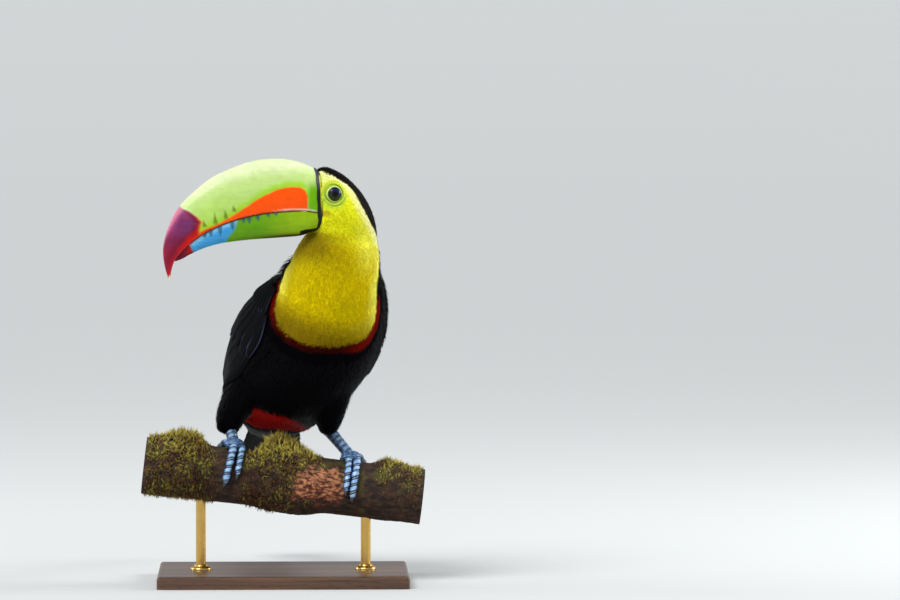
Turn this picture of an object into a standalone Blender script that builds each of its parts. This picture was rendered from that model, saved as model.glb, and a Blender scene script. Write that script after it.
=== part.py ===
"""A keel-billed toucan at life size, perched on a cut length of mossy branch.

The bird faces the front left corner of its stand and looks back over its right
shoulder, so the head is turned about a right angle from the body. It is still:
every solid is fixed to its neighbours. Lengths are metres and +Z is up. The
origin is the middle of the stand's underside.

Three frames carry the shapes. The body frame runs along the bird's own forward
and left directions from the middle of the trunk. The head frame starts where the
bill meets the head, at the corner of the mouth. The branch frame gives a place
along the branch and an angle round it, from its top towards the front.
"""

import math

import bmesh
import bpy
from mathutils import Vector

MM = 0.001
GAP = 0.3 * MM
UP = Vector((0.0, 0.0, 1.0))

# Where the body and head stand, and which way they face.
BODY_TURN = math.radians(20)
HEAD_TURN = math.radians(-75)
BODY_MIDDLE = Vector((17.0, 5.0, 183.0)) * MM
MOUTH_CORNER = Vector((25.3, -44.0, 296.8)) * MM

# The trunk and neck, tail end first: how far forward, left and up each section
# lies, then its half width and half depth.
TORSO_SECTIONS = (
    (0.0, -94, 0, -68, 14, 8),
    (1.0, -76, 0, -58, 25, 18),
    (2.0, -51, -2, -41, 40, 32),
    (3.0, -25, -6, -21, 47.5, 44),
    (4.0, 0, -2.8, 0, 53.6, 50),
    (5.0, 21, 5.5, 23, 51.5, 50),
    (6.0, 34.5, 11, 47, 44.5, 45.5),
    (7.0, 42, 11.5, 69, 37, 37),
    (8.0, 46, 15.4, 90, 31, 27.5),
    (9.0, 46, 19, 111, 20, 17),
)
NECK_START = 6.55
NECK_END = 8.05
TORSO_SIDES = 28
TORSO_FULLNESS = 2.15

# The head, bill end first: distance forward, height of the middle, half width
# and half height.
HEAD_SECTIONS = (
    (0.0, -0.4, 7.4, 18.6, 27.6),
    (1.0, -8.0, 8.4, 21.4, 29.6),
    (2.0, -16.5, 5.6, 23.2, 29.0),
    (3.0, -25.0, 1.7, 23.6, 28.6),
    (4.0, -33.0, -3.1, 22.6, 26.9),
    (5.0, -40.5, -8.4, 19.6, 23.0),
    (6.0, -46.5, -13.0, 14.6, 17.0),
    (7.0, -50.4, -16.2, 8.2, 9.6),
    (8.0, -52.0, -17.5, 3.0, 3.6),
)
HEAD_SIDES = 24
HEAD_FULLNESS = 2.1
EYE_RADIUS = 7.0 * MM
EYE_FORWARD, EYE_SIDE, EYE_RISE = -10.3 * MM, 17.0 * MM, 15.6 * MM

# The bill: (forward, up) of the culmen over the top, of the cutting edge where
# the mandibles meet, then the half width there.
UPPER_SECTIONS = (
    (0.0, 0.0, 34.6, 0.0, 0.0, 18.0),
    (1.0, 13.8, 40.0, 12.0, 1.6, 18.2),
    (2.0, 31.0, 42.4, 29.0, 1.5, 17.8),
    (3.0, 50.0, 40.8, 48.0, -0.4, 16.6),
    (4.0, 68.0, 35.0, 64.0, -3.7, 14.7),
    (5.0, 84.0, 27.8, 79.0, -8.8, 12.6),
    (6.0, 98.0, 17.2, 92.5, -15.5, 10.4),
    (7.0, 110.6, 5.0, 103.6, -23.6, 8.0),
    (8.0, 118.9, -9.6, 110.8, -30.4, 6.0),
    (9.0, 123.4, -26.0, 115.4, -37.4, 4.0),
    (10.0, 122.4, -40.2, 117.6, -45.4, 2.2),
    (11.0, 118.9, -52.6, 118.0, -52.8, 0.6),
)
# The lower mandible: (forward, up) of its cutting edge and of its keel below.
LOWER_SECTIONS = (
    (0.0, 0.4, 0.0, 1.5, -13.5, 17.2),
    (1.0, 12.0, 1.6, 12.0, -17.8, 17.6),
    (2.0, 29.0, 1.5, 29.0, -19.3, 17.0),
    (3.0, 48.0, -0.4, 48.0, -20.4, 15.6),
    (4.0, 64.0, -3.7, 64.0, -21.8, 13.6),
    (5.0, 79.0, -8.8, 78.5, -23.8, 11.4),
    (6.0, 92.5, -15.5, 90.5, -27.0, 9.0),
    (7.0, 103.6, -23.6, 101.4, -31.6, 6.4),
    (8.0, 109.9, -29.4, 108.4, -35.4, 4.0),
    (9.0, 113.9, -35.2, 113.2, -38.4, 1.2),
)

# The folded wing on the torso: section along the torso, lower and upper edge as
# degrees round it from the side, thickness of feathers on the right and the left.
WING_SECTIONS = (
    (6.9, 10, 34, 3.4, 2.0),
    (6.3, -10, 48, 2.8, 3.2),
    (5.4, -24, 58, 2.8, 4.2),
    (4.4, -27, 68, 4.4, 3.8),
    (3.3, -16, 76, 4.2, 1.8),
    (2.3, 4, 81, 4.2, 2.6),
    (1.4, 30, 82, 4.6, 4.2),
    (0.8, 54, 81, 3.4, 3.4),
)

# The tail: distance from its root, half width and half thickness.
TAIL_ROOT = (-70, 1.5, -53)
TAIL_TURN = math.radians(5)
TAIL_DROP = math.radians(27)
TAIL_SECTIONS = (
    (0.0, 0, 17, 8.0),
    (1.0, 28, 23, 7.0),
    (2.0, 68, 26.5, 4.8),
    (3.0, 112, 28, 3.2),
    (4.0, 146, 27, 2.3),
    (5.0, 158, 20, 1.6),
    (6.0, 163, 10, 1.0),
)
TAIL_ARCH = 3.5 * MM

# The branch, its slope along X and the moss cushions on it: place along it,
# angle from the top, height, and spread both ways.
BRANCH_RADIUS = 22.0 * MM
BRANCH_HALF_LENGTH = 112.0 * MM
BRANCH_MIDDLE_HEIGHT = 80.5 * MM
BRANCH_SLOPE = -0.11
MOSS_CUSHIONS = (
    (-3, 2, 10.0, 15, 42),
    (-84, 4, 7.0, 20, 55),
    (-82, 105, 5.5, 22, 45),
    (-10, 120, 4.0, 30, 40),
    (78, -10, 4.0, 24, 45),
    (20, 200, 3.5, 40, 60),
)
FOOT_CLEARING = 19.0 * MM

# The legs: (X, Y, Z, radius) down the feathered thigh, then the ankle and the
# middle of the foot. The bird's right leg is the one at -X.
THIGHS = {
    "right": (
        (0.0, -12, -4, 184, 24),
        (1.0, -27.5, -3, 163, 17.5),
        (2.0, -37, 2, 144, 14.5),
        (3.0, -43, 8, 130, 12.5),
        (4.0, -45, 12, 119, 9.5),
    ),
    "left": (
        (0.0, 38, -10, 184, 24),
        (1.0, 40, -6, 163, 19),
        (2.0, 39.5, 0, 144, 14),
        (3.0, 37, 8, 130, 11.5),
        (4.0, 36, 14, 118.5, 8.5),
    ),
}
ANKLES = {"right": (-44, 18, 128), "left": (36, 17, 121)}
FOOT_PLACES = {"right": (-42.5, 14), "left": (51.5, 14)}
FOOT_HALF_SIZES = (8.2 * MM, 7.4 * MM, 4.7 * MM)

# Each toe: where it leaves the foot and ends, along the branch (outwards from
# the bird is positive) and round it, its base radius and its claw's length.
TOES = {
    "right": {
        "front_outer": (-0.8, 3.6, 14, 100, 3.3, 7.5),
        "front_inner": (-7.4, -5.4, 14, 83, 2.8, 7.5),
        "rear_outer": (5.5, 15.0, -4, -72, 3.1, 10.5),
        "rear_inner": (-4.5, -9.0, -6, -52, 2.8, 9.0),
    },
    "left": {
        "front_outer": (5.6, 4.2, 14, 103, 3.1, 7.0),
        "front_inner": (-1.2, -1.2, 14, 92, 2.9, 7.0),
        "rear_outer": (5.5, 15.0, -4, -72, 3.1, 10.5),
        "rear_inner": (-2.0, -8.5, -9, -54, 2.7, 9.0),
    },
}
TOE_TIP_SHARE = 0.76
CLAW_BASE_SHARE = 0.8

# The display stand.
BASE_LENGTH, BASE_DEPTH, BASE_HEIGHT = 200 * MM, 140 * MM, 10 * MM
BASE_EDGE = 2.5 * MM
ROD_RADIUS = 4.0 * MM
ROD_PLACES = (-66 * MM, 66 * MM)
ROD_SUNK = 8.0 * MM


def heading(turn):
    """Unit direction on the ground, turned to the viewer's right from -Y."""
    return Vector((math.sin(turn), -math.cos(turn), 0.0))


BODY_FORWARD = heading(BODY_TURN)
BODY_LEFT = UP.cross(BODY_FORWARD)
HEAD_FORWARD = heading(HEAD_TURN)
HEAD_LEFT = UP.cross(HEAD_FORWARD)
BRANCH_ALONG = Vector((1.0, 0.0, BRANCH_SLOPE)).normalized()
FRONT = Vector((0.0, -1.0, 0.0))
BRANCH_TOP = FRONT.cross(BRANCH_ALONG).normalized()


def in_body(forward, left, up):
    return BODY_MIDDLE + BODY_FORWARD * forward + BODY_LEFT * left + UP * up


def in_head(forward, left, up):
    return MOUTH_CORNER + HEAD_FORWARD * forward + HEAD_LEFT * left + UP * up


def through(rows, t):
    """The values at t on a smooth curve through rows of (t, value, value, ...)."""
    last = len(rows) - 2
    i = min(max(sum(row[0] <= t for row in rows) - 1, 0), last)
    before, here, after = rows[max(i - 1, 0)], rows[i], rows[i + 1]
    beyond = rows[min(i + 2, last + 1)]
    width = after[0] - here[0]
    share = min(max((t - here[0]) / width, 0.0), 1.0)
    found = []
    for a, b, c, d in zip(before[1:], here[1:], after[1:], beyond[1:]):
        slope_here = (c - a) / (after[0] - before[0]) * width
        slope_after = (d - b) / (beyond[0] - here[0]) * width
        s2, s3 = share * share, share**3
        found.append(
            b * (2 * s3 - 3 * s2 + 1)
            + slope_here * (s3 - 2 * s2 + share)
            + c * (3 * s2 - 2 * s3)
            + slope_after * (s3 - s2)
        )
    return found


def evenly(start, end, count):
    return [start + (end - start) * k / (count - 1) for k in range(count)]


def full(angle, fullness):
    """Across and up shares of an oval's point. Fullness over 2 squares its corners."""
    c, s = math.cos(angle), math.sin(angle)
    across = math.copysign(abs(c) ** (2 / fullness), c)
    return across, math.copysign(abs(s) ** (2 / fullness), s)


def oval(centre, side, rise, half_side, half_rise, count, fullness=2.0):
    points = []
    for k in range(count):
        across, height = full(math.tau * k / count, fullness)
        points.append(centre + side * (across * half_side) + rise * (height * half_rise))
    return points


def finish(bm, name, material):
    """Makes the bmesh an object of triangles whose faces point out."""
    bmesh.ops.triangulate(bm, faces=bm.faces[:])
    bmesh.ops.recalc_face_normals(bm, faces=bm.faces[:])
    mesh = bpy.data.meshes.new(name)
    bm.to_mesh(mesh)
    bm.free()
    mesh.materials.append(material)
    mesh.shade_smooth()
    mesh.set_sharp_from_angle(angle=math.radians(40))
    made = bpy.data.objects.new(name, mesh)
    bpy.context.scene.collection.objects.link(made)
    return made


def loft(name, rings, material):
    """A closed solid through rings of equal count, with flat ends."""
    bm = bmesh.new()
    rows = [[bm.verts.new(p) for p in ring] for ring in rings]
    for row, following in zip(rows, rows[1:]):
        for k, corner in enumerate(row):
            beside = (k + 1) % len(row)
            bm.faces.new((corner, row[beside], following[beside], following[k]))
    bm.faces.new(rows[0])
    bm.faces.new(rows[-1])
    return finish(bm, name, material)


def shell(name, outer, inner, material):
    """A closed solid between two grids of points, joined round their rim."""
    bm = bmesh.new()
    top, under = ([[bm.verts.new(p) for p in row] for row in g] for g in (outer, inner))
    rows, columns = len(outer), len(outer[0])
    for grid in (top, under):
        for i in range(rows - 1):
            for j in range(columns - 1):
                square = (grid[i][j], grid[i][j + 1], grid[i + 1][j + 1], grid[i + 1][j])
                bm.faces.new(square)
    rim = [(0, j) for j in range(columns - 1)]
    rim += [(i, columns - 1) for i in range(rows - 1)]
    rim += [(rows - 1, j) for j in range(columns - 1, 0, -1)]
    rim += [(i, 0) for i in range(rows - 1, 0, -1)]
    for (i, j), (k, m) in zip(rim, rim[1:] + rim[:1]):
        bm.faces.new((top[i][j], top[k][m], under[k][m], under[i][j]))
    return finish(bm, name, material)


def ball(name, centre, half_sizes, material, columns=12, rows=8):
    bm = bmesh.new()
    bmesh.ops.create_uvsphere(bm, u_segments=columns, v_segments=rows, radius=1.0)
    bmesh.ops.scale(bm, vec=half_sizes, verts=bm.verts)
    bmesh.ops.translate(bm, vec=centre, verts=bm.verts)
    return finish(bm, name, material)


def as_tool(obj):
    """Keeps an object out of the model, as a cutter or something joined."""
    obj.hide_render = True
    obj.display_type = "WIRE"
    return obj


def combine(obj, tool, operation):
    boolean = obj.modifiers.new(tool.name, "BOOLEAN")
    boolean.operation = operation
    boolean.solver = "EXACT"
    boolean.object = tool


def paint(name, colour, roughness, metallic=0.0):
    material = bpy.data.materials.new(name)
    material.use_nodes = True
    surface = material.node_tree.nodes["Principled BSDF"]
    surface.inputs["Base Color"].default_value = (*colour, 1.0)
    surface.inputs["Roughness"].default_value = roughness
    surface.inputs["Metallic"].default_value = metallic
    return material


def torso_section(s):
    """Centre, side and back directions and half sizes of the torso at s."""
    forward, left, up, half_width, half_depth = (v * MM for v in through(TORSO_SECTIONS, s))
    step = 0.05
    ahead, behind = (through(TORSO_SECTIONS, s + d)[:3] for d in (step, -step))
    run = in_body(*ahead) - in_body(*behind)
    run.normalize()
    side = (BODY_LEFT - run * BODY_LEFT.dot(run)).normalized()
    return in_body(forward, left, up), side, run.cross(side), half_width, half_depth


def torso_ring(s, grown=0.0):
    centre, side, back, half_width, half_depth = torso_section(s)
    half_width, half_depth = half_width + grown, half_depth + grown
    return oval(centre, side, back, half_width, half_depth, TORSO_SIDES, TORSO_FULLNESS)


def on_torso(s, angle, lift):
    """A point over the torso's surface, angle being from the side to the back."""
    centre, side, back, half_width, half_depth = torso_section(s)
    across, height = full(angle, TORSO_FULLNESS)
    return centre + side * across * (half_width + lift) + back * height * (half_depth + lift)


def make_torso(feathers):
    """The trunk and the neck. Returns a tool that clears room round them."""
    trunk = evenly(0.0, NECK_START, 15)
    section_length = 22 * MM
    neck = evenly(NECK_START + GAP / section_length, NECK_END, 7)
    loft("trunk", [torso_ring(s) for s in trunk], feathers)
    loft("neck", [torso_ring(s) for s in neck], feathers)
    grown = [torso_ring(s, GAP) for s in trunk + neck[1:3]]
    side, back = torso_section(0.0)[1:3]
    grown[0] = [p + back.cross(side) * GAP for p in grown[0]]
    return as_tool(loft("torso_grown", grown, feathers))


def head_ring(s):
    forward, rise, half_width, half_height = (v * MM for v in through(HEAD_SECTIONS, s))
    centre = in_head(forward, 0.0, rise)
    return oval(centre, HEAD_LEFT, UP, half_width, half_height, HEAD_SIDES, HEAD_FULLNESS)


def make_head(feathers, eye):
    head = loft("head", [head_ring(s) for s in evenly(0.0, 8.0, 13)], feathers)
    stub = [torso_ring(s) for s in evenly(NECK_END - 0.15, 9.0, 6)]
    combine(head, as_tool(loft("neck_in_head", stub, feathers)), "UNION")
    section_length = 21 * MM
    end = NECK_END + GAP / section_length
    room = [torso_ring(s, GAP) for s in evenly(NECK_START + 0.3, end, 7)]
    combine(head, as_tool(loft("neck_room", room, feathers)), "DIFFERENCE")
    for name, sign in (("eye_left", 1), ("eye_right", -1)):
        centre = in_head(EYE_FORWARD, sign * EYE_SIDE, EYE_RISE)
        ball(name, centre, (EYE_RADIUS,) * 3, eye)
        grown = (EYE_RADIUS + GAP,) * 3
        socket = ball(name + "_socket", centre, grown, feathers)
        combine(head, as_tool(socket), "DIFFERENCE")


def upper_ring(s):
    """Across the upper mandible: sides from the cutting edge to the keel."""
    top_f, top_u, edge_f, edge_u, half_width = (v * MM for v in through(UPPER_SECTIONS, s))
    low, high = in_head(edge_f, 0, edge_u), in_head(top_f, 0, top_u)
    points = []
    for k in range(15):
        a = math.pi * k / 14
        rise = math.sin(a) ** 0.85
        tuck = 1 - 0.12 * (1 - rise) ** 4
        across = math.copysign(abs(math.cos(a)) ** 0.78, math.cos(a)) * half_width * tuck
        points.append(low.lerp(high, rise) + HEAD_LEFT * across)
    return points + [low + (high - low) * 0.03]


def lower_ring(s, grown=0.0):
    """Across the lower mandible: a trough, flat along the cutting edge."""
    edge_f, edge_u, keel_f, keel_u, half_width = (v * MM for v in through(LOWER_SECTIONS, s))
    high, low = in_head(edge_f, 0, edge_u - GAP + grown), in_head(keel_f, 0, keel_u - grown)
    half_width += grown * 1.2
    points = []
    for k in range(13):
        a = math.pi * k / 12
        drop = math.sin(a) ** 0.9
        across = math.copysign(abs(math.cos(a)) ** 0.62, math.cos(a)) * half_width * 0.9
        points.append(high.lerp(low, drop) + HEAD_LEFT * across)
    return points


def make_bill(horn):
    loft("bill_upper", [upper_ring(s) for s in evenly(0.0, 11.0, 20)], horn)
    loft("bill_lower", [lower_ring(s) for s in evenly(0.0, 9.0, 14)], horn)
    rings = [lower_ring(s, GAP) for s in evenly(0.0, 3.0, 6)]
    rings[0] = [p - HEAD_FORWARD * GAP for p in rings[0]]
    combine(bpy.data.objects["head"], as_tool(loft("bill_room", rings, horn)), "DIFFERENCE")


def wing_shell(name, sign, thicker, wider, material):
    """The folded wing of one side; sign is 1 for the left and -1 for the right."""
    outer, inner = [], []
    keys = [(k, *row) for k, row in enumerate(WING_SECTIONS)]
    for t in evenly(0.0, len(keys) - 1.0, 12):
        s, low, high, right, left = through(keys, t)
        thick = left if sign > 0 else right
        angles = evenly(math.radians(low - wider), math.radians(high + wider), 8)
        if sign < 0:
            angles = [math.pi - a for a in angles]
        rows = []
        for k, angle in enumerate(angles):
            crown = math.sin(math.pi * (k + 0.8) / (len(angles) + 0.6)) ** 0.5
            rows.append((angle, (thick * (0.35 + 0.65 * crown) + thicker) * MM))
        outer.append([on_torso(s, a, lift) for a, lift in rows])
        inner.append([on_torso(s, a, -3 * MM) for a, _ in rows])
    return shell(name, outer, inner, material)


def make_wings(torso_grown, feathers):
    cutters = {}
    for name, sign in (("left", 1), ("right", -1)):
        wing = wing_shell("wing_" + name, sign, 0.0, 0.0, feathers)
        combine(wing, torso_grown, "DIFFERENCE")
        grown = wing_shell("wing_grown_" + name, sign, 0.4, 1.0, feathers)
        cutters[name] = as_tool(grown)
    return cutters


def make_tail(torso_grown, cutters, feathers):
    """The closed tail, turned a little from the body's line."""
    root = in_body(*(v * MM for v in TAIL_ROOT))
    forward = heading(TAIL_TURN)
    left = UP.cross(forward)
    run = -forward * math.cos(TAIL_DROP) - UP * math.sin(TAIL_DROP)
    rise = left.cross(run)
    rings = []
    for s in evenly(0.0, 6.0, 11):
        distance, half_width, half_thick = (v * MM for v in through(TAIL_SECTIONS, s))
        ring = oval(root + run * distance, left, rise, half_width, half_thick, 16, 2.3)
        widest = TAIL_SECTIONS[3][2] * MM
        for point in ring:
            away = (point - root).dot(left) / widest
            point -= rise * TAIL_ARCH * away * away
        rings.append(ring)
    tail = loft("tail", rings, feathers)
    for tool in (torso_grown, *cutters.values()):
        combine(tail, tool, "DIFFERENCE")


def branch_point(along, angle, radius):
    """A place along the branch, an angle from its top to the front, a radius."""
    centre = UP * BRANCH_MIDDLE_HEIGHT + BRANCH_ALONG * along
    return centre + (BRANCH_TOP * math.cos(angle) + FRONT * math.sin(angle)) * radius


def away_from_feet(along):
    """0 where a foot grips the branch, rising to 1 away from it."""
    share = 1.0
    for place, _ in FOOT_PLACES.values():
        away = abs(along - place * MM) / FOOT_CLEARING
        share *= min(max((away - 0.85) / 0.75, 0.0), 1.0)
    return share


def branch_radius(along, angle):
    x = along / MM
    rough = 0.7 * math.sin(3 * angle + x * 0.045) + 0.5 * math.sin(x * 0.11 - 2 * angle)
    for place, degrees, height, spread_along, spread_round in MOSS_CUSHIONS:
        turn = (angle - math.radians(degrees) + math.pi) % math.tau - math.pi
        across = turn / math.radians(spread_round)
        rough += height * math.exp(-(((x - place) / spread_along) ** 2) - across * across)
    return BRANCH_RADIUS + rough * MM * away_from_feet(along)


def make_branch(bark, rods):
    rings = []
    for along in evenly(-BRANCH_HALF_LENGTH, BRANCH_HALF_LENGTH, 24):
        angles = [math.tau * k / 16 for k in range(16)]
        rings.append([branch_point(along, a, branch_radius(along, a)) for a in angles])
    perch = loft("perch", rings, bark)
    for rod in rods:
        combine(perch, rod, "DIFFERENCE")


def thick_path(points, radii, side, count):
    """Rings along a path, each square to it, with side kept across it."""
    rings = []
    for k, (centre, radius) in enumerate(zip(points, radii)):
        ahead, behind = points[min(k + 1, len(points) - 1)], points[max(k - 1, 0)]
        run = (ahead - behind).normalized()
        across = (side - run * side.dot(run)).normalized()
        rings.append(oval(centre, across, run.cross(across), radius, radius, count))
    return rings


def foot_centre(place):
    along, degrees = place
    radius = BRANCH_RADIUS + FOOT_HALF_SIZES[2] + GAP
    return branch_point(along * MM, math.radians(degrees), radius)


def make_thigh(side_name, torso_grown, wing, feathers):
    rows = [through(THIGHS[side_name], s) for s in evenly(0.0, 4.0, 10)]
    points = [Vector(row[:3]) * MM for row in rows]
    radii = [row[3] * MM for row in rows]
    rings = thick_path(points, radii, BODY_LEFT, 16)
    thigh = loft("thigh_" + side_name, rings, feathers)
    combine(thigh, torso_grown, "DIFFERENCE")
    combine(thigh, wing, "DIFFERENCE")


def make_tarsus(side_name, torso_grown, scales):
    """The bare shank and the middle of the foot that the toes grow from."""
    ankle = Vector(ANKLES[side_name]) * MM
    foot = foot_centre(FOOT_PLACES[side_name])
    rows = ((0.0, 4.6), (1.0, 3.9), (2.0, 3.7), (3.0, 4.4))
    shares = evenly(0.0, 3.0, 5)
    points = [ankle.lerp(foot, s / 3.0) for s in shares]
    radii = [through(rows, s)[0] * MM for s in shares]
    shank = loft("tarsus_" + side_name, thick_path(points, radii, BODY_LEFT, 10), scales)
    middle = ball("foot_" + side_name, foot, FOOT_HALF_SIZES, scales)
    combine(shank, as_tool(middle), "UNION")
    combine(shank, torso_grown, "DIFFERENCE")
    grown = [h + GAP for h in FOOT_HALF_SIZES]
    cutter = as_tool(ball("foot_grown_" + side_name, foot, grown, scales))
    thigh = bpy.data.objects["thigh_" + side_name]
    room = [(r + GAP) for r in radii]
    wider = loft("tarsus_grown_" + side_name, thick_path(points, room, BODY_LEFT, 10), scales)
    combine(thigh, as_tool(wider), "DIFFERENCE")
    return cutter


def toe_path(start, end, clear, count):
    """Points over the branch from one (along, degrees) to another."""
    points = []
    for k, share in enumerate(evenly(0.0, 1.0, count)):
        along = start[0] + (end[0] - start[0]) * share
        angle = math.radians(start[1] + (end[1] - start[1]) * share)
        points.append(branch_point(along * MM, angle, BRANCH_RADIUS + clear[k]))
    return points


def make_toe(side_name, toe_name, foot, scales, horn):
    outwards = 1 if side_name == "left" else -1
    place, lean = FOOT_PLACES[side_name]
    start_along, end_along, start_turn, end_turn, base, claw_length = TOES[side_name][toe_name]
    start = (place + outwards * start_along, start_turn + lean * 0.3)
    end = (place + outwards * end_along, end_turn)
    shares = evenly(0.0, 1.0, 9)
    knuckles = [0.16 * math.sin(3 * math.pi * s) ** 2 for s in shares]
    taper = [1 - (1 - TOE_TIP_SHARE) * s for s in shares]
    radii = [base * MM * (t + k - 0.08) for t, k in zip(taper, knuckles)]
    points = toe_path(start, end, [r + GAP for r in radii], len(shares))
    toe = loft(f"toe_{side_name}_{toe_name}", thick_path(points, radii, BRANCH_ALONG, 8), scales)
    combine(toe, foot, "DIFFERENCE")

    direction = math.copysign(1.0, end_turn - start_turn)
    gap_turn = math.degrees(GAP / BRANCH_RADIUS) * 1.6 * direction
    sweep = math.degrees(claw_length * MM / (BRANCH_RADIUS + 2 * MM)) * direction
    slant = (end_along - start_along) / (end_turn - start_turn) * outwards
    claw_start = (end[0], end[1] + gap_turn)
    claw_end = (end[0] + slant * sweep, end[1] + gap_turn + sweep)
    shares = evenly(0.0, 1.0, 6)
    claw_radii = [radii[-1] * CLAW_BASE_SHARE * (1 - s) ** 0.8 + 0.3 * MM for s in shares]
    heights = [r + GAP + 0.9 * MM * math.sin(math.pi * s) for r, s in zip(claw_radii, shares)]
    points = toe_path(claw_start, claw_end, heights, len(shares))
    rings = thick_path(points, claw_radii, BRANCH_ALONG, 6)
    loft(f"claw_{side_name}_{toe_name}", rings, horn)


def make_stand(board, metal):
    bm = bmesh.new()
    bmesh.ops.create_cube(bm, size=1.0)
    bmesh.ops.scale(bm, vec=(BASE_LENGTH, BASE_DEPTH, BASE_HEIGHT), verts=bm.verts)
    bmesh.ops.translate(bm, vec=UP * BASE_HEIGHT / 2, verts=bm.verts)
    upper = [e for e in bm.edges if all(v.co.z > BASE_EDGE for v in e.verts)]
    upright = [e for e in bm.edges if abs(e.verts[0].co.z - e.verts[1].co.z) > BASE_EDGE]
    bmesh.ops.bevel(
        bm, geom=upper + upright, offset=BASE_EDGE, segments=3, profile=0.5,
        affect="EDGES", material=-1,
    )
    finish(bm, "stand_base", board)
    cutters = []
    for name, along in zip(("stand_rod_right", "stand_rod_left"), ROD_PLACES):
        top = branch_point(along, math.pi, BRANCH_RADIUS - ROD_SUNK).z
        for suffix, grown in (("", 0.0), ("_hole", GAP)):
            low = BASE_HEIGHT + GAP - grown
            foot = Vector((along, 0.0, low))
            head = Vector((along, 0.0, top + grown))
            path = thick_path([foot, head], [ROD_RADIUS + grown] * 2, BODY_LEFT, 20)
            rod = loft(name + suffix, path, metal)
        cutters.append(as_tool(rod))
    return cutters


def main():
    for old in list(bpy.data.objects):
        bpy.data.objects.remove(old)
    feathers = paint("plumage", (0.012, 0.012, 0.016), 0.6)
    eye = paint("eye", (0.02, 0.02, 0.02), 0.1)
    horn = paint("bill_horn", (0.45, 0.62, 0.12), 0.35)
    scales = paint("foot_scales", (0.22, 0.42, 0.75), 0.55)
    claw = paint("claw_horn", (0.06, 0.06, 0.07), 0.4)
    bark = paint("bark", (0.16, 0.1, 0.05), 0.9)
    board = paint("stand_board", (0.05, 0.05, 0.05), 0.5)
    metal = paint("stand_metal", (0.55, 0.5, 0.4), 0.3, 1.0)

    torso_grown = make_torso(feathers)
    make_head(feathers, eye)
    make_bill(horn)
    cutters = make_wings(torso_grown, feathers)
    make_tail(torso_grown, cutters, feathers)
    for side_name in ("right", "left"):
        make_thigh(side_name, torso_grown, cutters[side_name], feathers)
        foot = make_tarsus(side_name, torso_grown, scales)
        for toe_name in TOES[side_name]:
            make_toe(side_name, toe_name, foot, scales, claw)
    make_branch(bark, make_stand(board, metal))


main()
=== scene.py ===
"""The looks of a keel-billed toucan, life size, on a mossy cut branch and a plain stand.

The file follows the model as it is put together: the view, the stand, the perch,
the feet, the bill, the skin, the eyes, then the coat of feathers, wings and tail.
Lengths are metres, +Z is up, and the origin is the middle of the stand's underside.
"""

import itertools
import math

import bmesh
import bpy
import numpy as np
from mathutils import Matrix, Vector, noise
from mathutils.bvhtree import BVHTree


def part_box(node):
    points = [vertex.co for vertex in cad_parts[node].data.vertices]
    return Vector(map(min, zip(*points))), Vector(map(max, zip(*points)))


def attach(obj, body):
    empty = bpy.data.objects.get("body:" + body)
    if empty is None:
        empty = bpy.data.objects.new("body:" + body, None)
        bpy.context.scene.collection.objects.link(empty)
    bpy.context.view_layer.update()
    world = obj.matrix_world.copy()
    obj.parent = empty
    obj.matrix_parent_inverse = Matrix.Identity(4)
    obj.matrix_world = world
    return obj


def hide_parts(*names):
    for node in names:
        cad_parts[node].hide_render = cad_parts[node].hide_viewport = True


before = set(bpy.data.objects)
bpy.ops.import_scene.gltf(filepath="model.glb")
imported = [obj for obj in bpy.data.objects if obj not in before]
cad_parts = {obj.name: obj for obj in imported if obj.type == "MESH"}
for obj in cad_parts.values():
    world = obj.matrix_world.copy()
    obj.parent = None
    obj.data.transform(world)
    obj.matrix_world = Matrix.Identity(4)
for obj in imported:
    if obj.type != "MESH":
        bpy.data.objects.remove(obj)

MM = 0.001
UP = Vector((0.0, 0.0, 1.0))
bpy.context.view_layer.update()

# ---- View, floor and light ---------------------------------------------------
# The model stands on a pale matt table in a bright room, under one large soft
# window light from the front left and paler fills, seen through a long lens.

VIEW_TILT = math.radians(2.5)
VIEW_DISTANCE = 4.5
VIEW_LENS = 225
VIEW_POINT = Vector((133.6, 0.0, 225.6)) * MM
WINDOW_FROM = Vector((-0.62, -0.85, 1.15))
WINDOW_SPREAD = math.radians(32)
WINDOW_STRENGTH = 2.5
ROOM_STRENGTH = 0.6
LIGHT_AIM = Vector((0, 0, 0.2))
# Each smaller light: where it is, its size and its power in watts.
SOFT_LIGHTS = {
    "side_window": ((-1.6, 0.5, 0.7), 0.9, 12.0),
    "far_lamp": ((1.7, 0.35, 0.8), 0.8, 24.0),
}


def linear(colour):
    """An sRGB hex colour as linear red, green and blue."""
    shares = [int(colour[k : k + 2], 16) / 255 for k in (0, 2, 4)]
    return tuple(c / 12.92 if c <= 0.04045 else ((c + 0.055) / 1.055) ** 2.4 for c in shares)


def add(tree, kind, inputs=(), **settings):
    """Adds a node with its settings. An input is a value or another node's output."""
    made = tree.nodes.new("ShaderNode" + kind)
    for name, value in settings.items():
        setattr(made, name, value)
    for socket, value in dict(inputs).items():
        if isinstance(value, bpy.types.NodeSocket):
            tree.links.new(value, made.inputs[socket])
        else:
            is_colour = made.inputs[socket].type == "RGBA"
            made.inputs[socket].default_value = (*value, 1.0) if is_colour else value
    return made


def finish_of(name, depth_mm=None, **sockets):
    """A material, its tree and its surface. Light sinks in by depth_mm where given."""
    made = bpy.data.materials.new(name)
    made.use_nodes = True
    surface = made.node_tree.nodes["Principled BSDF"]
    for socket, value in sockets.items():
        surface.inputs[socket.replace("_", " ")].default_value = value
    if depth_mm:
        surface.inputs["Subsurface Radius"].default_value = [depth * MM for depth in depth_mm]
        surface.inputs["Subsurface Scale"].default_value = 1.0
    return made, made.node_tree, surface


def linked(name, data):
    """A new object in the scene."""
    made = bpy.data.objects.new(name, data)
    bpy.context.scene.collection.objects.link(made)
    return made


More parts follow.
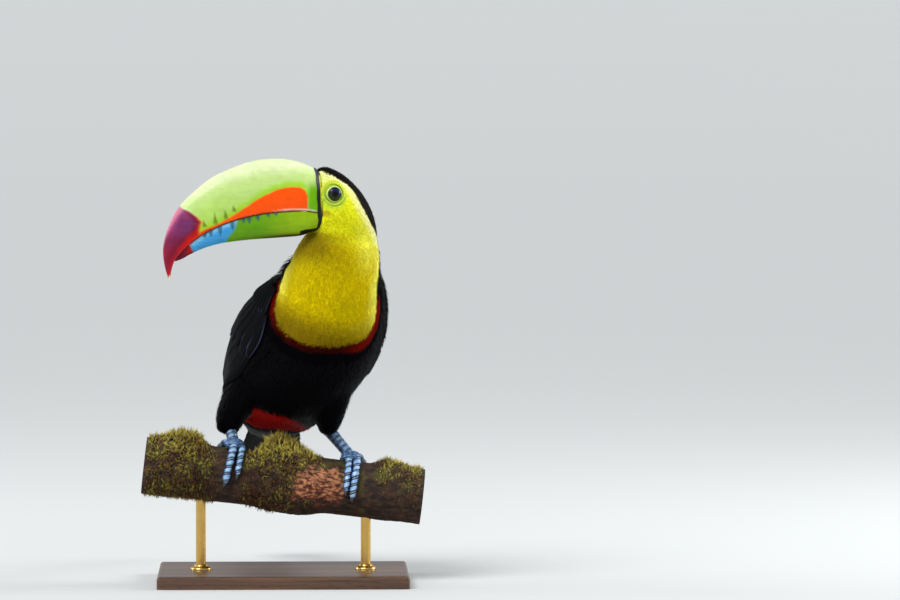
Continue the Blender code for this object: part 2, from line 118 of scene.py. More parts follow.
def show(mesh, name, material):
    """Puts a mesh in the scene as a piece with its material."""
    mesh.materials.append(material)
    return linked(name, mesh)


def made_mesh(bm, name):
    """The mesh of a finished bmesh, which is then freed."""
    mesh = bpy.data.meshes.new(name)
    bm.to_mesh(mesh)
    bm.free()
    return mesh


camera_data = bpy.data.cameras.new("camera")
camera_data.lens = VIEW_LENS
camera = linked("camera", camera_data)
lens_height = VIEW_POINT.z + VIEW_DISTANCE * math.sin(VIEW_TILT)
camera.location = (0.0, -VIEW_DISTANCE * math.cos(VIEW_TILT), lens_height)
aim = (VIEW_POINT - camera.location).to_track_quat("-Z", "Y")
camera.rotation_euler = aim.to_euler()
bpy.context.scene.camera = camera
bpy.context.scene.view_settings.view_transform = "Standard"

for name, (place, size, power) in SOFT_LIGHTS.items():
    light = bpy.data.lights.new(name, "AREA")
    light.shape, light.size, light.energy = "DISK", size, power
    lamp = linked(name, light)
    lamp.location = place
    lamp.rotation_euler = (LIGHT_AIM - lamp.location).to_track_quat("-Z", "Y").to_euler()

sun = bpy.data.lights.new("window", "SUN")
sun.energy, sun.angle = WINDOW_STRENGTH, WINDOW_SPREAD
window = linked("window", sun)
window.rotation_euler = WINDOW_FROM.to_track_quat("Z", "Y").to_euler()

world = bpy.data.worlds.new("room")
world.use_nodes = True
backdrop = world.node_tree.nodes["Background"].inputs
backdrop[0].default_value, backdrop[1].default_value = (*linear("f2f5f7"), 1.0), ROOM_STRENGTH
bpy.context.scene.world = world

# Painted matt board: pale and even, with a faint unevenness from the roller. It
# rises a little far away, so that no edge of it shows behind the model.
FLOOR_HALF, FLOOR_RISE, FLOOR_FLAT = 40.0, 3.0, 0.3
floor_paint, tree, surface = finish_of("matt_painted_board", Roughness=0.75)
roller = add(tree, "TexNoise", {"Scale": 3.0, "Detail": 3.0})
pale, paler = linear("c2c5c6"), linear("c6c8c8")
paint = add(tree, "Mix", {0: roller.outputs[0], 6: pale, 7: paler}, data_type="RGBA")
tree.links.new(paint.outputs[2], surface.inputs["Base Color"])
bm = bmesh.new()
bmesh.ops.create_grid(bm, x_segments=40, y_segments=40, size=FLOOR_HALF)
for corner in bm.verts:
    away = max(corner.co.xy.length / FLOOR_HALF - FLOOR_FLAT, 0.0)
    corner.co.z = FLOOR_RISE * away * away / (1 - FLOOR_FLAT) ** 2
show(made_mesh(bm, "floor"), "floor", floor_paint)

# ---- Stand -------------------------------------------------------------------
# A flat hardwood board, oiled dark, and two brass rods up into the branch. Each
# rod stands in a turned brass collar that hides the hole it is glued into.

COLLAR_OUTER, COLLAR_INNER, COLLAR_HEIGHT = 8.5 * MM, 4.15 * MM, 4.2 * MM
COLLAR_LIFT = 0.05 * MM

# Oiled walnut: fine pores and darker year lines along the board, a soft shine.
walnut, tree, surface = finish_of("oiled_walnut", Roughness=0.42, IOR=1.5, Coat_Weight=0.15)
place = add(tree, "TexCoord").outputs["Object"]
lengthwise = add(tree, "Mapping", {0: place, "Scale": (6.0, 130.0, 130.0)}, vector_type="POINT")
grain = add(tree, "TexNoise", {0: lengthwise.outputs[0], "Scale": 1.0, "Detail": 5.0, "Distortion": 0.6})
pores = add(tree, "Mapping", {0: place, "Scale": (90.0, 1400.0, 1400.0)})
fleck = add(tree, "TexNoise", {0: pores.outputs[0], "Scale": 1.0, "Detail": 2.0})
lines = add(tree, "MapRange", {0: grain.outputs[0], 1: 0.35, 2: 0.68})
dots = add(tree, "MapRange", {0: fleck.outputs[0], 1: 0.58, 2: 0.72})
dark, mid, black = linear("2f1d13"), linear("6a4529"), linear("1d110a")
wood = add(tree, "Mix", {0: lines.outputs[0], 6: dark, 7: mid}, data_type="RGBA")
pored = add(tree, "Mix", {0: dots.outputs[0], 6: wood.outputs[2], 7: black}, data_type="RGBA")
tree.links.new(pored.outputs[2], surface.inputs["Base Color"])
bump = add(tree, "Bump", {"Strength": 0.25, "Distance": 0.0002, "Height": fleck.outputs[0]}, invert=True)
tree.links.new(bump.outputs[0], surface.inputs["Normal"])


def refinish(node, material):
    """Gives a CAD node that keeps its shape its material, and returns its corners."""
    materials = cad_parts[node].data.materials
    materials.clear()
    materials.append(material)
    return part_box(node)


def fit(mesh, name, material, slot, *replaced):
    """Fixes a piece to the model with its material, and hides the CAD nodes it stands for. The slot is not
    used.
    """
    piece = show(mesh, name, material)
    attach(piece, "root")
    if replaced:
        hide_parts(*replaced)


board_top = refinish("stand_base", walnut)[1].z

# Drawn brass rod, polished then lacquered: fine marks along it, warm yellow.
brass, tree, surface = finish_of("lacquered_brass", Metallic=1.0, Roughness=0.24)
place = add(tree, "TexCoord").outputs["Object"]
drawn = add(tree, "Mapping", {0: place, "Scale": (2600.0, 2600.0, 60.0)})
marks = add(tree, "TexNoise", {0: drawn.outputs[0], "Scale": 1.0, "Detail": 2.0})
tarnish = add(tree, "TexNoise", {0: place, "Scale": 70.0, "Detail": 4.0})
dull, clean = linear("c39a4e"), linear("d8b469")
gold = add(tree, "Mix", {0: tarnish.outputs[0], 6: dull, 7: clean}, data_type="RGBA")
tree.links.new(gold.outputs[2], surface.inputs["Base Color"])
shine = add(tree, "MapRange", {0: marks.outputs[0], 3: 0.18, 4: 0.34})
tree.links.new(shine.outputs[0], surface.inputs["Roughness"])
for side_name in ("right", "left"):
    low, high = refinish("stand_rod_" + side_name, brass)
    middle = (low + high) / 2
    # The collar's section: foot, rounded shoulder and the lip against the rod.
    section = (
        (COLLAR_INNER, 0.0), (COLLAR_OUTER, 0.0), (COLLAR_OUTER, 0.25), (0.9 * COLLAR_OUTER, 0.42),
        (0.78 * COLLAR_OUTER, 0.5), (0.68 * COLLAR_OUTER, 0.7), (0.64 * COLLAR_OUTER, 0.92),
        (0.58 * COLLAR_OUTER, 1.0), (COLLAR_INNER, 1.0),
    )
    bm = bmesh.new()
    foot = board_top + COLLAR_LIFT
    corners = [bm.verts.new((middle.x + r, middle.y, foot + h * COLLAR_HEIGHT)) for r, h in section]
    edges = [bm.edges.new(pair) for pair in zip(corners, corners[1:] + corners[:1])]
    bmesh.ops.spin(
        bm, geom=corners + edges, cent=(middle.x, middle.y, 0), axis=UP,
        angle=math.tau, steps=56, use_merge=True,
    )
    bmesh.ops.remove_doubles(bm, verts=bm.verts, dist=0.01 * MM)
    bmesh.ops.recalc_face_normals(bm, faces=bm.faces)
    mesh = made_mesh(bm, "stand_collar_" + side_name)
    mesh.shade_smooth()
    mesh.set_sharp_from_angle(angle=math.radians(50))
    fit(mesh, "stand_collar_" + side_name, brass, "stand_metal")

# ---- Perch: bark ---------------------------------------------------------------
# A length of dead branch, sawn at both ends. Its bark is dark and damp where moss
# grows, and reddish and flaking where it is bare, and the sawn ends show rings.

BRANCH_RADIUS = 22.0 * MM
BRANCH_HALF = 112.0 * MM
BRANCH_MIDDLE = UP * 80.5 * MM
BRANCH_SLOPE = -0.11
BRANCH_ALONG = Vector((1.0, 0.0, BRANCH_SLOPE)).normalized()
FRONT = Vector((0.0, -1.0, 0.0))
BRANCH_TOP = FRONT.cross(BRANCH_ALONG).normalized()
# Each cushion of moss: place along in mm, degrees from the top towards the
# front, height in mm, then its spread along in mm and round in degrees.
CUSHIONS = (
    (-7, 2, 12.5, 19, 42), (-78, 4, 8.0, 21, 55), (-82, 105, 5.5, 22, 45),
    (-10, 120, 4.0, 30, 40), (78, -10, 4.0, 24, 45), (20, 200, 3.5, 40, 60),
)
FOOT_PLACES = {"right": (-42.5, 14), "left": (51.5, 14)}
FOOT_ROOM = 19.0
SAWN_SHARE = 0.05
# The bare bark: its middle along in mm, and in degrees from the top.
BARE_PLACE = (31, 86)
BARK_FLAKE = 5.0 * MM


def mapped(name, around, along, place, closed=True):
    """A fine sheet bent to a shape: place turns two shares into a point and a colour."""
    bm = bmesh.new()
    bm.loops.layers.uv.new("UVMap")
    tint = bm.verts.layers.float_color.new("Tint")
    bmesh.ops.create_grid(bm, x_segments=around, y_segments=along, size=0.5, calc_uvs=True)
    for corner in bm.verts:
        corner.co, colour = place(corner.co.x + 0.5, corner.co.y + 0.5)
        corner[tint] = (*colour, 1.0)
    bmesh.ops.remove_doubles(bm, verts=bm.verts, dist=0.002 * MM)
    if closed:
        bmesh.ops.holes_fill(bm, edges=bm.edges)
    bmesh.ops.recalc_face_normals(bm, faces=bm.faces)
    mesh = made_mesh(bm, name)
    mesh.shade_smooth()
    return mesh


def blend(first, second, share):
    """A colour this share of the way from the first to the second."""
    share = min(max(share, 0.0), 1.0)
    return tuple(a + (b - a) * share for a, b in zip(first, second))


def ramp(value, low, high):
    """0 below low, 1 above high, and a smooth rise between."""
    share = min(max((value - low) / (high - low), 0.0), 1.0)
    return share * share * (3 - 2 * share)


def branch_point(along, angle, radius):
    """A point so far along the branch, at an angle from its top towards the front."""
    centre = BRANCH_MIDDLE + BRANCH_ALONG * along
    return centre + (BRANCH_TOP * math.cos(angle) + FRONT * math.sin(angle)) * radius


def away_from_feet(x):
    """0 under a foot and 1 well away from both, by mm along the branch."""
    share = 1.0
    for foot, _ in FOOT_PLACES.values():
        share *= min(max((abs(x - foot) / FOOT_ROOM - 0.85) / 0.75, 0.0), 1.0)
    return share


def cushion_height(x, angle):
    """How far the moss cushions raise the bark, in mm."""
    height = 0.0
    for place, degrees, rise, spread_along, spread_round in CUSHIONS:
        turn = (angle - math.radians(degrees) + math.pi) % math.tau - math.pi
        across = turn / math.radians(spread_round)
        height += rise * math.exp(-(((x - place) / spread_along) ** 2) - across * across)
    return height


def branch_radius(along, angle):
    """The branch's radius with its bumps and cushions, but not the bark's relief."""
    x = along / MM
    rough = 0.7 * math.sin(3 * angle + x * 0.045) + 0.5 * math.sin(x * 0.11 - 2 * angle)
    return BRANCH_RADIUS + (rough + cushion_height(x, angle)) * MM * away_from_feet(x)


def bareness(x, angle):
    """1 on the bare reddish bark right of the middle, 0 under moss."""
    off = x - BARE_PLACE[0]
    turn = math.degrees(angle) - BARE_PLACE[1] + 0.35 * off
    wander = noise.noise(Vector((x * 0.12, angle * 2.6, 4.0)))
    wander += 0.7 * noise.noise(Vector((x * 0.3, angle * 6.0, 9.0)))
    reach = math.hypot(off / 24, turn / 40) + 0.55 * wander
    return 1 - ramp(reach, 0.8, 1.15)


BARK_DARK, BARK_BROWN = linear("1c120c"), linear("4a3020")
BARK_RED, BARK_PALE = linear("6a301c"), linear("b67a54")
BARK_GREEN = linear("4d4a1c")


def bark(u, v):
    """The bark and, within the first and last rows, the sawn ends."""
    end = min(v, 1 - v) / SAWN_SHARE
    share = min(max((v - SAWN_SHARE) / (1 - 2 * SAWN_SHARE), 0.0), 1.0)
    along = (share * 2 - 1) * BRANCH_HALF
    angle = u * math.tau
    x = along / MM
    spot = branch_point(along, angle, BRANCH_RADIUS)
    fibre = Vector((spot.x * 0.45, spot.y, spot.z)) / BARK_FLAKE
    crack = min(abs(noise.noise(fibre * 1.3)) / 0.12, 1.0)
    furrow = noise.fractal(fibre * 1.7, 1.0, 2.0, 4)
    plate = noise.fractal(fibre * 3.4 + Vector((7.0, 0, 0)), 1.0, 2.0, 4)
    calm = 0.3 + 0.7 * away_from_feet(x)
    bare = bareness(x, angle)
    relief = (0.6 * furrow + 0.4 * (crack - 1) + 0.45 * plate * bare) * calm
    radius = branch_radius(along, angle) + relief * MM
    colour = blend(BARK_DARK, BARK_BROWN, 0.45 + 0.8 * furrow)
    green = ramp(noise.noise(spot / (9 * MM)) + 0.35 * math.cos(angle), 0.1, 0.5)
    colour = blend(colour, BARK_GREEN, 0.6 * green * (1 - bare))
    # The bare bark's paler upper side and darker lower front are painted light and shade.
    flesh = blend(BARK_RED, BARK_PALE, 0.45 + 1.7 * plate + 0.5 * furrow - 0.8 * (angle - 1.25))
    flesh = blend(flesh, BARK_DARK, 0.75 * ramp(-plate - 0.4 * furrow, 0.06, 0.4))
    colour = blend(colour, flesh, bare)
    # Darker along the fissures: partly the bark's own dark cracks, partly painted shade in them.
    colour = blend(BARK_DARK, colour, 0.45 + 0.55 * crack)
    if end < 1:
        rings = math.sin(end * BRANCH_RADIUS / (0.62 * MM) + 1.5 * noise.noise(spot / (14 * MM)))
        ray = noise.noise(Vector((math.cos(angle) * 9, math.sin(angle) * 9, end)))
        radius *= end
        sawn = blend(linear("8f6e49"), linear("c3a273"), 0.5 + 0.35 * rings + 0.5 * ray)
        colour = blend(sawn, linear("4a2f1c"), ramp(end, 0.88, 0.95))
    return branch_point(along, angle, radius), colour


def shaded(tree, tint, pattern, low, high, dark, pale):
    """A tint made darker or paler by a pattern, from dark at low to pale at high."""
    shade = add(tree, "MapRange", {0: pattern, 1: low, 2: high, 3: dark, 4: pale})
    tones = {0: 1.0, 6: tint, 7: shade.outputs[0]}
    return add(tree, "Mix", tones, data_type="RGBA", blend_type="MULTIPLY").outputs[2]


def tinted(tree, surface, pattern, low, high, dark, pale, relief=0.0, depth=0.0, invert=False):
    """Colours a surface by its own tint, shaded and embossed by a fine pattern."""
    tint = add(tree, "Attribute", attribute_name="Tint").outputs["Color"]
    tone = shaded(tree, tint, pattern, low, high, dark, pale)
    tree.links.new(tone, surface.inputs["Base Color"])
    if relief:
        bump = add(tree, "Bump", {"Strength": relief, "Distance": depth, "Height": pattern}, invert=invert)
        tree.links.new(bump.outputs[0], surface.inputs["Normal"])
    return tone


# Dead bark, weathered outdoors: rough, dull, finely fissured along the grain.
bark_finish, tree, surface = finish_of("weathered_bark", Roughness=0.88, IOR=1.45)
place = add(tree, "TexCoord").outputs["Object"]
fissure = add(tree, "Mapping", {0: place, "Scale": (260.0, 1100.0, 1100.0)})
fine = add(tree, "TexNoise", {0: fissure.outputs[0], "Scale": 1.0, "Detail": 6.0, "Roughness": 0.62})
tinted(tree, surface, fine.outputs[0], 0.3, 0.7, 0.55, 1.35, 0.8, 0.0006)
fit(mapped("perch_bark", 176, 320, bark), "perch_bark", bark_finish, "bark", "perch")

# ---- Perch: moss ---------------------------------------------------------------
# Living moss kept on the branch: cushions of short branched sprigs, fresh yellow green at the tips, brown
# and matted below with painted shade deep among the sprigs, thin where the feet grip.

MOSS_SEED = 11
MOSS_SPACING = 1.3 * MM
MOSS_TRIES = 60000
MOSS_LENGTH = 6.2 * MM
MOSS_ROOT = 0.8 * MM
MOSS_END_GAP = 3 * MM
# Growth at which moss begins to take hold, and over which it becomes certain.
MOSS_TAKES, MOSS_DOUBT = 0.28, 0.3
MOSS_NEEDLE = 0.1
BLENDED = 0.75


def corners_and_faces(bm):
    """The corners and triangles of a finished bmesh, which is then freed."""
    bmesh.ops.triangulate(bm, faces=bm.faces)
    bmesh.ops.recalc_face_normals(bm, faces=bm.faces)
    points = np.array([v.co[:] for v in bm.verts])
    faces = np.array([[v.index for v in f.verts] for f in bm.faces])
    bm.free()
    return points, faces


def strand_shape(strands, cuts, spread, thickness=0.5, start=0.0):
    """Tapered three-sided strands that fan out from one root, each one long."""
    bm = bmesh.new()
    for k in range(strands):
        share = (k / (strands - 1) - 0.5) if strands > 1 else 0.0
        made = bmesh.ops.create_cone(
            bm, segments=3, radius1=0.5, radius2=0.0, depth=1.0, cap_ends=True, cap_tris=True,
        )["verts"]
        length = 1.0 - 0.35 * abs(share) * 2
        for corner in made:
            x = (corner.co.z + 0.5) * length
            across = corner.co.y + spread * share * (start + (1 - start) * x)
            corner.co = Vector((x, across, corner.co.x * thickness))
    for k in range(cuts):
        geometry = bm.verts[:] + bm.edges[:] + bm.faces[:]
        x = (k + 1) / (cuts + 1) * 0.62
        bmesh.ops.bisect_plane(bm, geom=geometry, plane_co=(x, 0, 0), plane_no=(1, 0, 0), dist=1e-6)
    return corners_and_faces(bm)


def joined(name, points, faces, tints, patches=None, local=None, outward=None):
    """One mesh of many like shapes: points is (shapes, corners, 3).

    With outward directions the shapes shade mostly as one smooth surface."""
    count, corners = points.shape[:2]
    mesh = bpy.data.meshes.new(name)
    mesh.vertices.add(count * corners)
    mesh.vertices.foreach_set("co", points.astype(np.float32).ravel())
    offsets = (np.arange(count) * corners)[:, None, None]
    loops = (faces[None] + offsets).reshape(-1)
    mesh.loops.add(len(loops))
    mesh.loops.foreach_set("vertex_index", loops.astype(np.int32))
    total = count * len(faces)
    mesh.polygons.add(total)
    mesh.polygons.foreach_set("loop_start", np.arange(0, total * 3, 3, dtype=np.int32))
    mesh.polygons.foreach_set("loop_total", np.full(total, 3, dtype=np.int32))
    colours = np.ones((count, corners, 4), np.float32)
    colours[:, :, :3] = tints
    layer = mesh.attributes.new("Tint", "FLOAT_COLOR", "POINT")
    layer.data.foreach_set("color", colours.ravel())
    if patches is not None:
        spot = patches[:, None, :] + local[None] * PATCH
        bake = mesh.uv_layers.new(name="OFBake")
        bake.data.foreach_set("uv", spot.reshape(-1, 2)[loops].astype(np.float32).ravel())
    mesh.update(calc_edges=True)
    mesh.validate()
    mesh.shade_smooth()
    if outward is not None:
        own = table_of(mesh.vertices, "normal", 3, np.float32)
        leaning = own * (1 - BLENDED) + outward.reshape(-1, 3) * BLENDED
        leaning /= np.linalg.norm(leaning, axis=1)[:, None]
        mesh.normals_split_custom_set_from_vertices(leaning)
    return mesh


def table_of(items, name, width, kind=np.int32):
    """One property of all the corners, triangles or loops of a mesh, row by row."""
    found = np.zeros(len(items) * width, kind)
    items.foreach_get(name, found)
    return found.reshape(-1, width)


def scattered(points, spacing):
    """Indices of points kept so that no two are closer than the spacing."""
    kept, cells = [], {}
    steps = list(itertools.product((-1, 0, 1), repeat=3))
    for i, (x, y, z) in enumerate(np.floor(points / spacing).astype(int).tolist()):
        near = [points[j] - points[i] for a, b, c in steps for j in cells.get((x + a, y + b, z + c), ())]
        if all(gap[0] * gap[0] + gap[1] * gap[1] + gap[2] * gap[2] >= spacing**2 for gap in near):
            kept.append(i)
            cells.setdefault((x, y, z), []).append(i)
    return np.array(kept)


def moss_growth(x, angle):
    """How thickly moss grows at a place along the branch in mm and an angle."""
    top = math.cos(angle)
    front = math.sin(angle)
    growth = 0.5 * top + 0.42
    growth += 0.75 * ramp(-x, 44, 60) * (0.7 + 0.5 * front)
    growth += 0.7 * math.exp(-(((x + 4) / 24) ** 2)) * (0.5 + 0.5 * top + 0.3 * front)
    growth += 0.5 * math.exp(-(((x + 14) / 24) ** 2)) * max(front, 0)
    growth += 1.2 * math.exp(-(((x + 24) / 8) ** 2)) * ramp(front, 0.1, 0.6)
    growth -= 1.6 * bareness(x, angle) + 1.1 * (1 - away_from_feet(x)) * (0.5 + 0.5 * top)
    return growth + 0.5 * noise.noise(Vector((x * 0.11, math.cos(angle) * 1.6, math.sin(angle) * 1.6)))


MOSS_FRESH, MOSS_OLIVE = linear("dcc84a"), linear("9a8620")
MOSS_BROWN, MOSS_RUST, MOSS_DARK = linear("96642a"), linear("5e2e1e"), linear("221a0c")
rng = np.random.default_rng(MOSS_SEED)
spots, growths = [], []
for _ in range(MOSS_TRIES):
    along = (rng.random() * 2 - 1) * (BRANCH_HALF - MOSS_END_GAP)
    angle = rng.random() * math.tau
    growth = moss_growth(along / MM, angle)
    if growth > MOSS_TAKES + MOSS_DOUBT * rng.random():
        radius = branch_radius(along, angle) - MOSS_ROOT
        spots.append((*branch_point(along, angle, radius), along, angle))
        growths.append(min(growth, 1.2))
spots, growths = np.array(spots), np.array(growths)
kept = scattered(spots[:, :3], MOSS_SPACING)
spots, growths = spots[kept], growths[kept]
shape, faces = strand_shape(4, 0, 5.2, thickness=1.0, start=0.1)
out = np.array([branch_point(a, t, 1.0) - branch_point(a, t, 0.0) for a, t in spots[:, 3:]])
lean = rng.normal(size=(len(spots), 3)) * 0.5
lean[:, 2] += np.where(out[:, 2] < 0.25, -0.35, 0.25)
stem = out + lean
stem /= np.linalg.norm(stem, axis=1)[:, None]
side = np.cross(stem, rng.normal(size=stem.shape))
side /= np.linalg.norm(side, axis=1)[:, None]
flat = np.cross(stem, side)
length = MOSS_LENGTH * (0.4 + 0.6 * rng.random(len(spots))) * (0.5 + 0.55 * growths)
length += np.array([cushion_height(a / MM, t) for a, t in spots[:, 3:]]) * 0.5 * MM * rng.random(len(spots))
x, y, z = shape.T
curl = 0.25 * x * x
points = (
    spots[:, None, :3]
    + stem[:, None] * (x[None, :, None] * length[:, None, None])
    + side[:, None] * (y[None, :, None] * length[:, None, None] * MOSS_NEEDLE)
    + flat[:, None] * ((z[None, :, None] * MOSS_NEEDLE + curl[None, :, None]) * length[:, None, None])
)
fresh = np.array([noise.noise(Vector(p[:3]) / (9 * MM)) for p in spots])
rooty = np.exp(-(((spots[:, 3] / MM + 24) / 9) ** 2)) * np.clip(1.2 - out[:, 2] * 2, 0, 1)
fresh = 0.35 + 1.3 * fresh + 0.4 * out[:, 2] + 0.35 * rng.normal(size=len(spots)) - 0.8 * rooty
fresh = np.clip(fresh, -0.5, 1.2)
tone = np.array([blend(blend(MOSS_BROWN, MOSS_OLIVE, 2 * f), MOSS_FRESH, 2 * f - 1) for f in fresh])
rusty = np.clip(0.3 - fresh, 0, 0.8)[:, None] * 1.2
tone = tone * (1 - rusty) + np.array(MOSS_RUST)[None] * rusty
# Each sprig darkens to its root: partly brown matted moss, partly painted shade deep in the cushion.
depth = np.clip(1.25 * x, 0, 1)[None, :, None]
tints = np.array(MOSS_DARK)[None, None] * (1 - depth) + tone[:, None] * depth


def in_piece(tree, kind, inputs):
    """The value of a texture that lies in the piece's own space."""
    place = add(tree, "TexCoord").outputs["Object"]
    return add(tree, kind, {0: place, **inputs}).outputs[0]


# Moss leaves: thin and waxy, so they glow a little at the tips, dull below.
moss_finish, tree, surface = finish_of(
    "living_moss", (0.6, 0.8, 0.3), Roughness=0.7, IOR=1.4, Subsurface_Weight=0.1,
)
fleck = in_piece(tree, "TexNoise", {"Scale": 900.0, "Detail": 2.0})
tinted(tree, surface, fleck, 0.3, 0.7, 0.7, 1.3)
fit(joined("moss", points, faces, tints), "moss", moss_finish, "bark")

# ---- Feet ----------------------------------------------------------------------
# Bare blue legs and toes, covered in overlapping horny scutes with darker skin in
# the creases. Two toes grip the branch in front and two behind it.

ANKLES = {"right": (-44, 18, 128), "left": (36, 17, 121)}
FOOT_HALF_SIZES = Vector((8.2, 7.4, 4.7)) * MM
FOOT_GAP = 0.3 * MM
SHANK_RADII = ((0.0, 5.2), (1.0, 4.8), (2.0, 4.5), (3.0, 4.9))
# Each toe: where along the branch it leaves the foot and ends, outwards being
# positive, then the degrees round the branch, its base radius and claw length.
TOES = {
    "right": {
        "front_outer": (-0.8, 3.6, 14, 100, 3.3, 7.5),
        "front_inner": (-7.4, -5.4, 14, 83, 2.8, 7.5),
        "rear_outer": (5.5, 15.0, -4, -72, 3.1, 10.5),
        "rear_inner": (-4.5, -9.0, -6, -52, 2.8, 9.0),
    },
    "left": {
        "front_outer": (5.6, 4.2, 14, 103, 3.1, 7.0),
        "front_inner": (-1.2, -1.2, 14, 92, 2.9, 7.0),
        "rear_outer": (5.5, 15.0, -4, -72, 3.1, 10.5),
        "rear_inner": (-2.0, -8.5, -9, -54, 2.7, 9.0),
    },
}
SCUTE_LENGTH = 5.6 * MM
SCUTE_STEP = 0.5 * MM
CREASE_HALF_WIDTH = 0.086
SCALE_BLUE, SCALE_PALE = linear("2f66a6"), linear("b4d6f4")
CREASE_NAVY, SOLE_GREY = linear("070e1e"), linear("3a4e66")
LEG_SEED = 0.3
BODY_LEFT = Vector((math.cos(math.radians(20)), math.sin(math.radians(20)), 0.0))


def through(rows, t):
    """The values at t on a smooth curve through rows of (t, value, value, ...)."""
    last = len(rows) - 2
    i = min(max(sum(row[0] <= t for row in rows) - 1, 0), last)
    before, here, after = rows[max(i - 1, 0)], rows[i], rows[i + 1]
    beyond = rows[min(i + 2, last + 1)]
    width = after[0] - here[0]
    share = min(max((t - here[0]) / width, 0.0), 1.0)
    found = []
    for a, b, c, d in zip(before[1:], here[1:], after[1:], beyond[1:]):
        slope_here = (c - a) / (after[0] - before[0]) * width
        slope_after = (d - b) / (beyond[0] - here[0]) * width
        s2, s3 = share * share, share**3
        found.append(
            b * (2 * s3 - 3 * s2 + 1) + slope_here * (s3 - 2 * s2 + share)
            + c * (3 * s2 - 2 * s3) + slope_after * (s3 - s2)
        )
    return found


def along_path(rows, v, side):
    """At a share v of a path: the middle, radius, and directions across and over."""
    last = len(rows) - 1.0
    t = v * last
    x, y, z, radius = through(rows, t)
    ahead = Vector(through(rows, min(t + 0.05, last))[:3])
    run = (ahead - Vector(through(rows, max(t - 0.05, 0.0))[:3])).normalized()
    across = (side - run * side.dot(run)).normalized()
    return Vector((x, y, z)), radius, across, run.cross(across)


def scaled_limb(name, path, radii, side, outward, around=40, along=130, seed=0.0):
    """A scaly toe or leg along a path: scutes on the outward side, pads below."""
    rows = [(k, *point, radius) for k, (point, radius) in enumerate(zip(path, radii))]
    total = sum((b - a).length for a, b in zip(path, path[1:]))

    def place(u, v):
        centre, radius, across, over = along_path(rows, v, side)
        if over.dot(outward(centre)) < 0:
            over = -over
        angle = u * math.tau
        top = math.cos(angle)
        slant = 0.18 * math.sin(angle) + 0.12 * noise.noise(Vector((v * 9, seed, 0.0)))
        phase = (v * total / SCUTE_LENGTH + slant + seed) % 1.0
        split = abs(math.sin(angle) - 0.12 + 0.25 * noise.noise(Vector((v * 14, seed, 4.0))))
        seam = ramp(split, 0.03, 0.14) if seed == LEG_SEED else 1.0
        # Each long shield is followed by a short one at the joint.
        creases = [abs(phase - place) / CREASE_HALF_WIDTH for place in (0.0, 0.74, 1.0)]
        ridge = min(ramp(min(creases), 0.5, 1.7), seam)
        shield = ramp(top, -0.35, 0.05)
        pad = noise.noise(centre / (0.9 * MM) + Vector((top * 3, math.sin(angle) * 3, seed)))
        lift = SCUTE_STEP * ((ridge - 1) * shield + 0.35 * pad * (1 - shield))
        lift += 0.16 * SCUTE_STEP * (1 - phase) * shield
        ends = min(v, 1 - v) * total / radius
        close = math.sqrt(max(1 - (1 - min(ends, 1.0)) ** 2, 0.0))
        point = centre + (over * top + across * math.sin(angle)) * (radius + lift) * close
        wear = noise.noise(point / (2.2 * MM)) + 0.5
        # Random tone, and painted light and shade: paler on the outward top of each toe and leg, darker
        # down its sides.
        colour = blend(SCALE_BLUE, SCALE_PALE, 0.55 * wear + 0.9 * (top - 0.6))
        colour = blend(CREASE_NAVY, colour, (0.02 + 0.98 * ridge) * (0.2 + 0.8 * ramp(top, 0.15, 0.92)))
        # The leg darkens towards its top: painted shade under the thigh.
        if seed == LEG_SEED:
            colour = blend(CREASE_NAVY, colour, 0.35 + 0.65 * ramp(v, 0.25, 0.7))
        colour = blend(blend(SOLE_GREY, CREASE_NAVY, 0.4 - pad), colour, shield)
        return point, colour

    return mapped(name, around, along, place)


def from_branch(centre):
    """The direction straight out from the branch to a place."""
    axis = BRANCH_MIDDLE + BRANCH_ALONG * (centre - BRANCH_MIDDLE).dot(BRANCH_ALONG)
    return centre - axis


def toe_path(start, end, clear):
    """Places from start to end, each (mm along, degrees round), so clear of the branch."""
    points = []
    for k, height in enumerate(clear):
        share = k / (len(clear) - 1)
        along = start[0] + (end[0] - start[0]) * share
        angle = math.radians(start[1] + (end[1] - start[1]) * share)
        points.append(branch_point(along * MM, angle, BRANCH_RADIUS + height))
    return points


# Foot scales: horn over living skin, moulded by growth. Satin, slightly waxy, with matt dark creases; the
# tint is painted paler on top and darker down the sides, as light and shade.
scale_finish, tree, surface = finish_of(
    "blue_scute_horn", (0.5, 0.6, 0.8), Roughness=0.42, IOR=1.5, Specular_IOR_Level=0.35,
    Coat_Weight=0.12, Subsurface_Weight=0.05,
)
grit = in_piece(tree, "TexNoise", {"Scale": 1400.0, "Detail": 3.0})
tinted(tree, surface, grit, 0.3, 0.7, 0.82, 1.15, 0.35, 0.0002)

# Claws: dark keratin, smooth and polished by wear, a shade paler at the root.
claw_finish, tree, surface = finish_of("dark_claw_keratin", Roughness=0.28, IOR=1.54)
streak = in_piece(tree, "TexNoise", {"Scale": 700.0, "Detail": 3.0})
tinted(tree, surface, streak, 0.0, 1.0, 0.75, 1.3)


def claw(name, path, radii):
    """A claw along a path, a little deeper than it is wide."""
    rows = [(k, *point, radius) for k, (point, radius) in enumerate(zip(path, radii))]

    def place(u, v):
        centre, radius, across, over = along_path(rows, v, BRANCH_ALONG)
        angle = u * math.tau
        close = math.sqrt(max(1 - (1 - min(min(v, 1 - v) * 14, 1.0)) ** 2, 0.0))
        round_over = over * math.cos(angle) * 1.08 + across * math.sin(angle) * 0.82
        colour = blend(linear("39404a"), linear("14161c"), ramp(v, 0.0, 0.6))
        return centre + round_over * radius * close, colour

    return mapped(name, 20, 26, place)


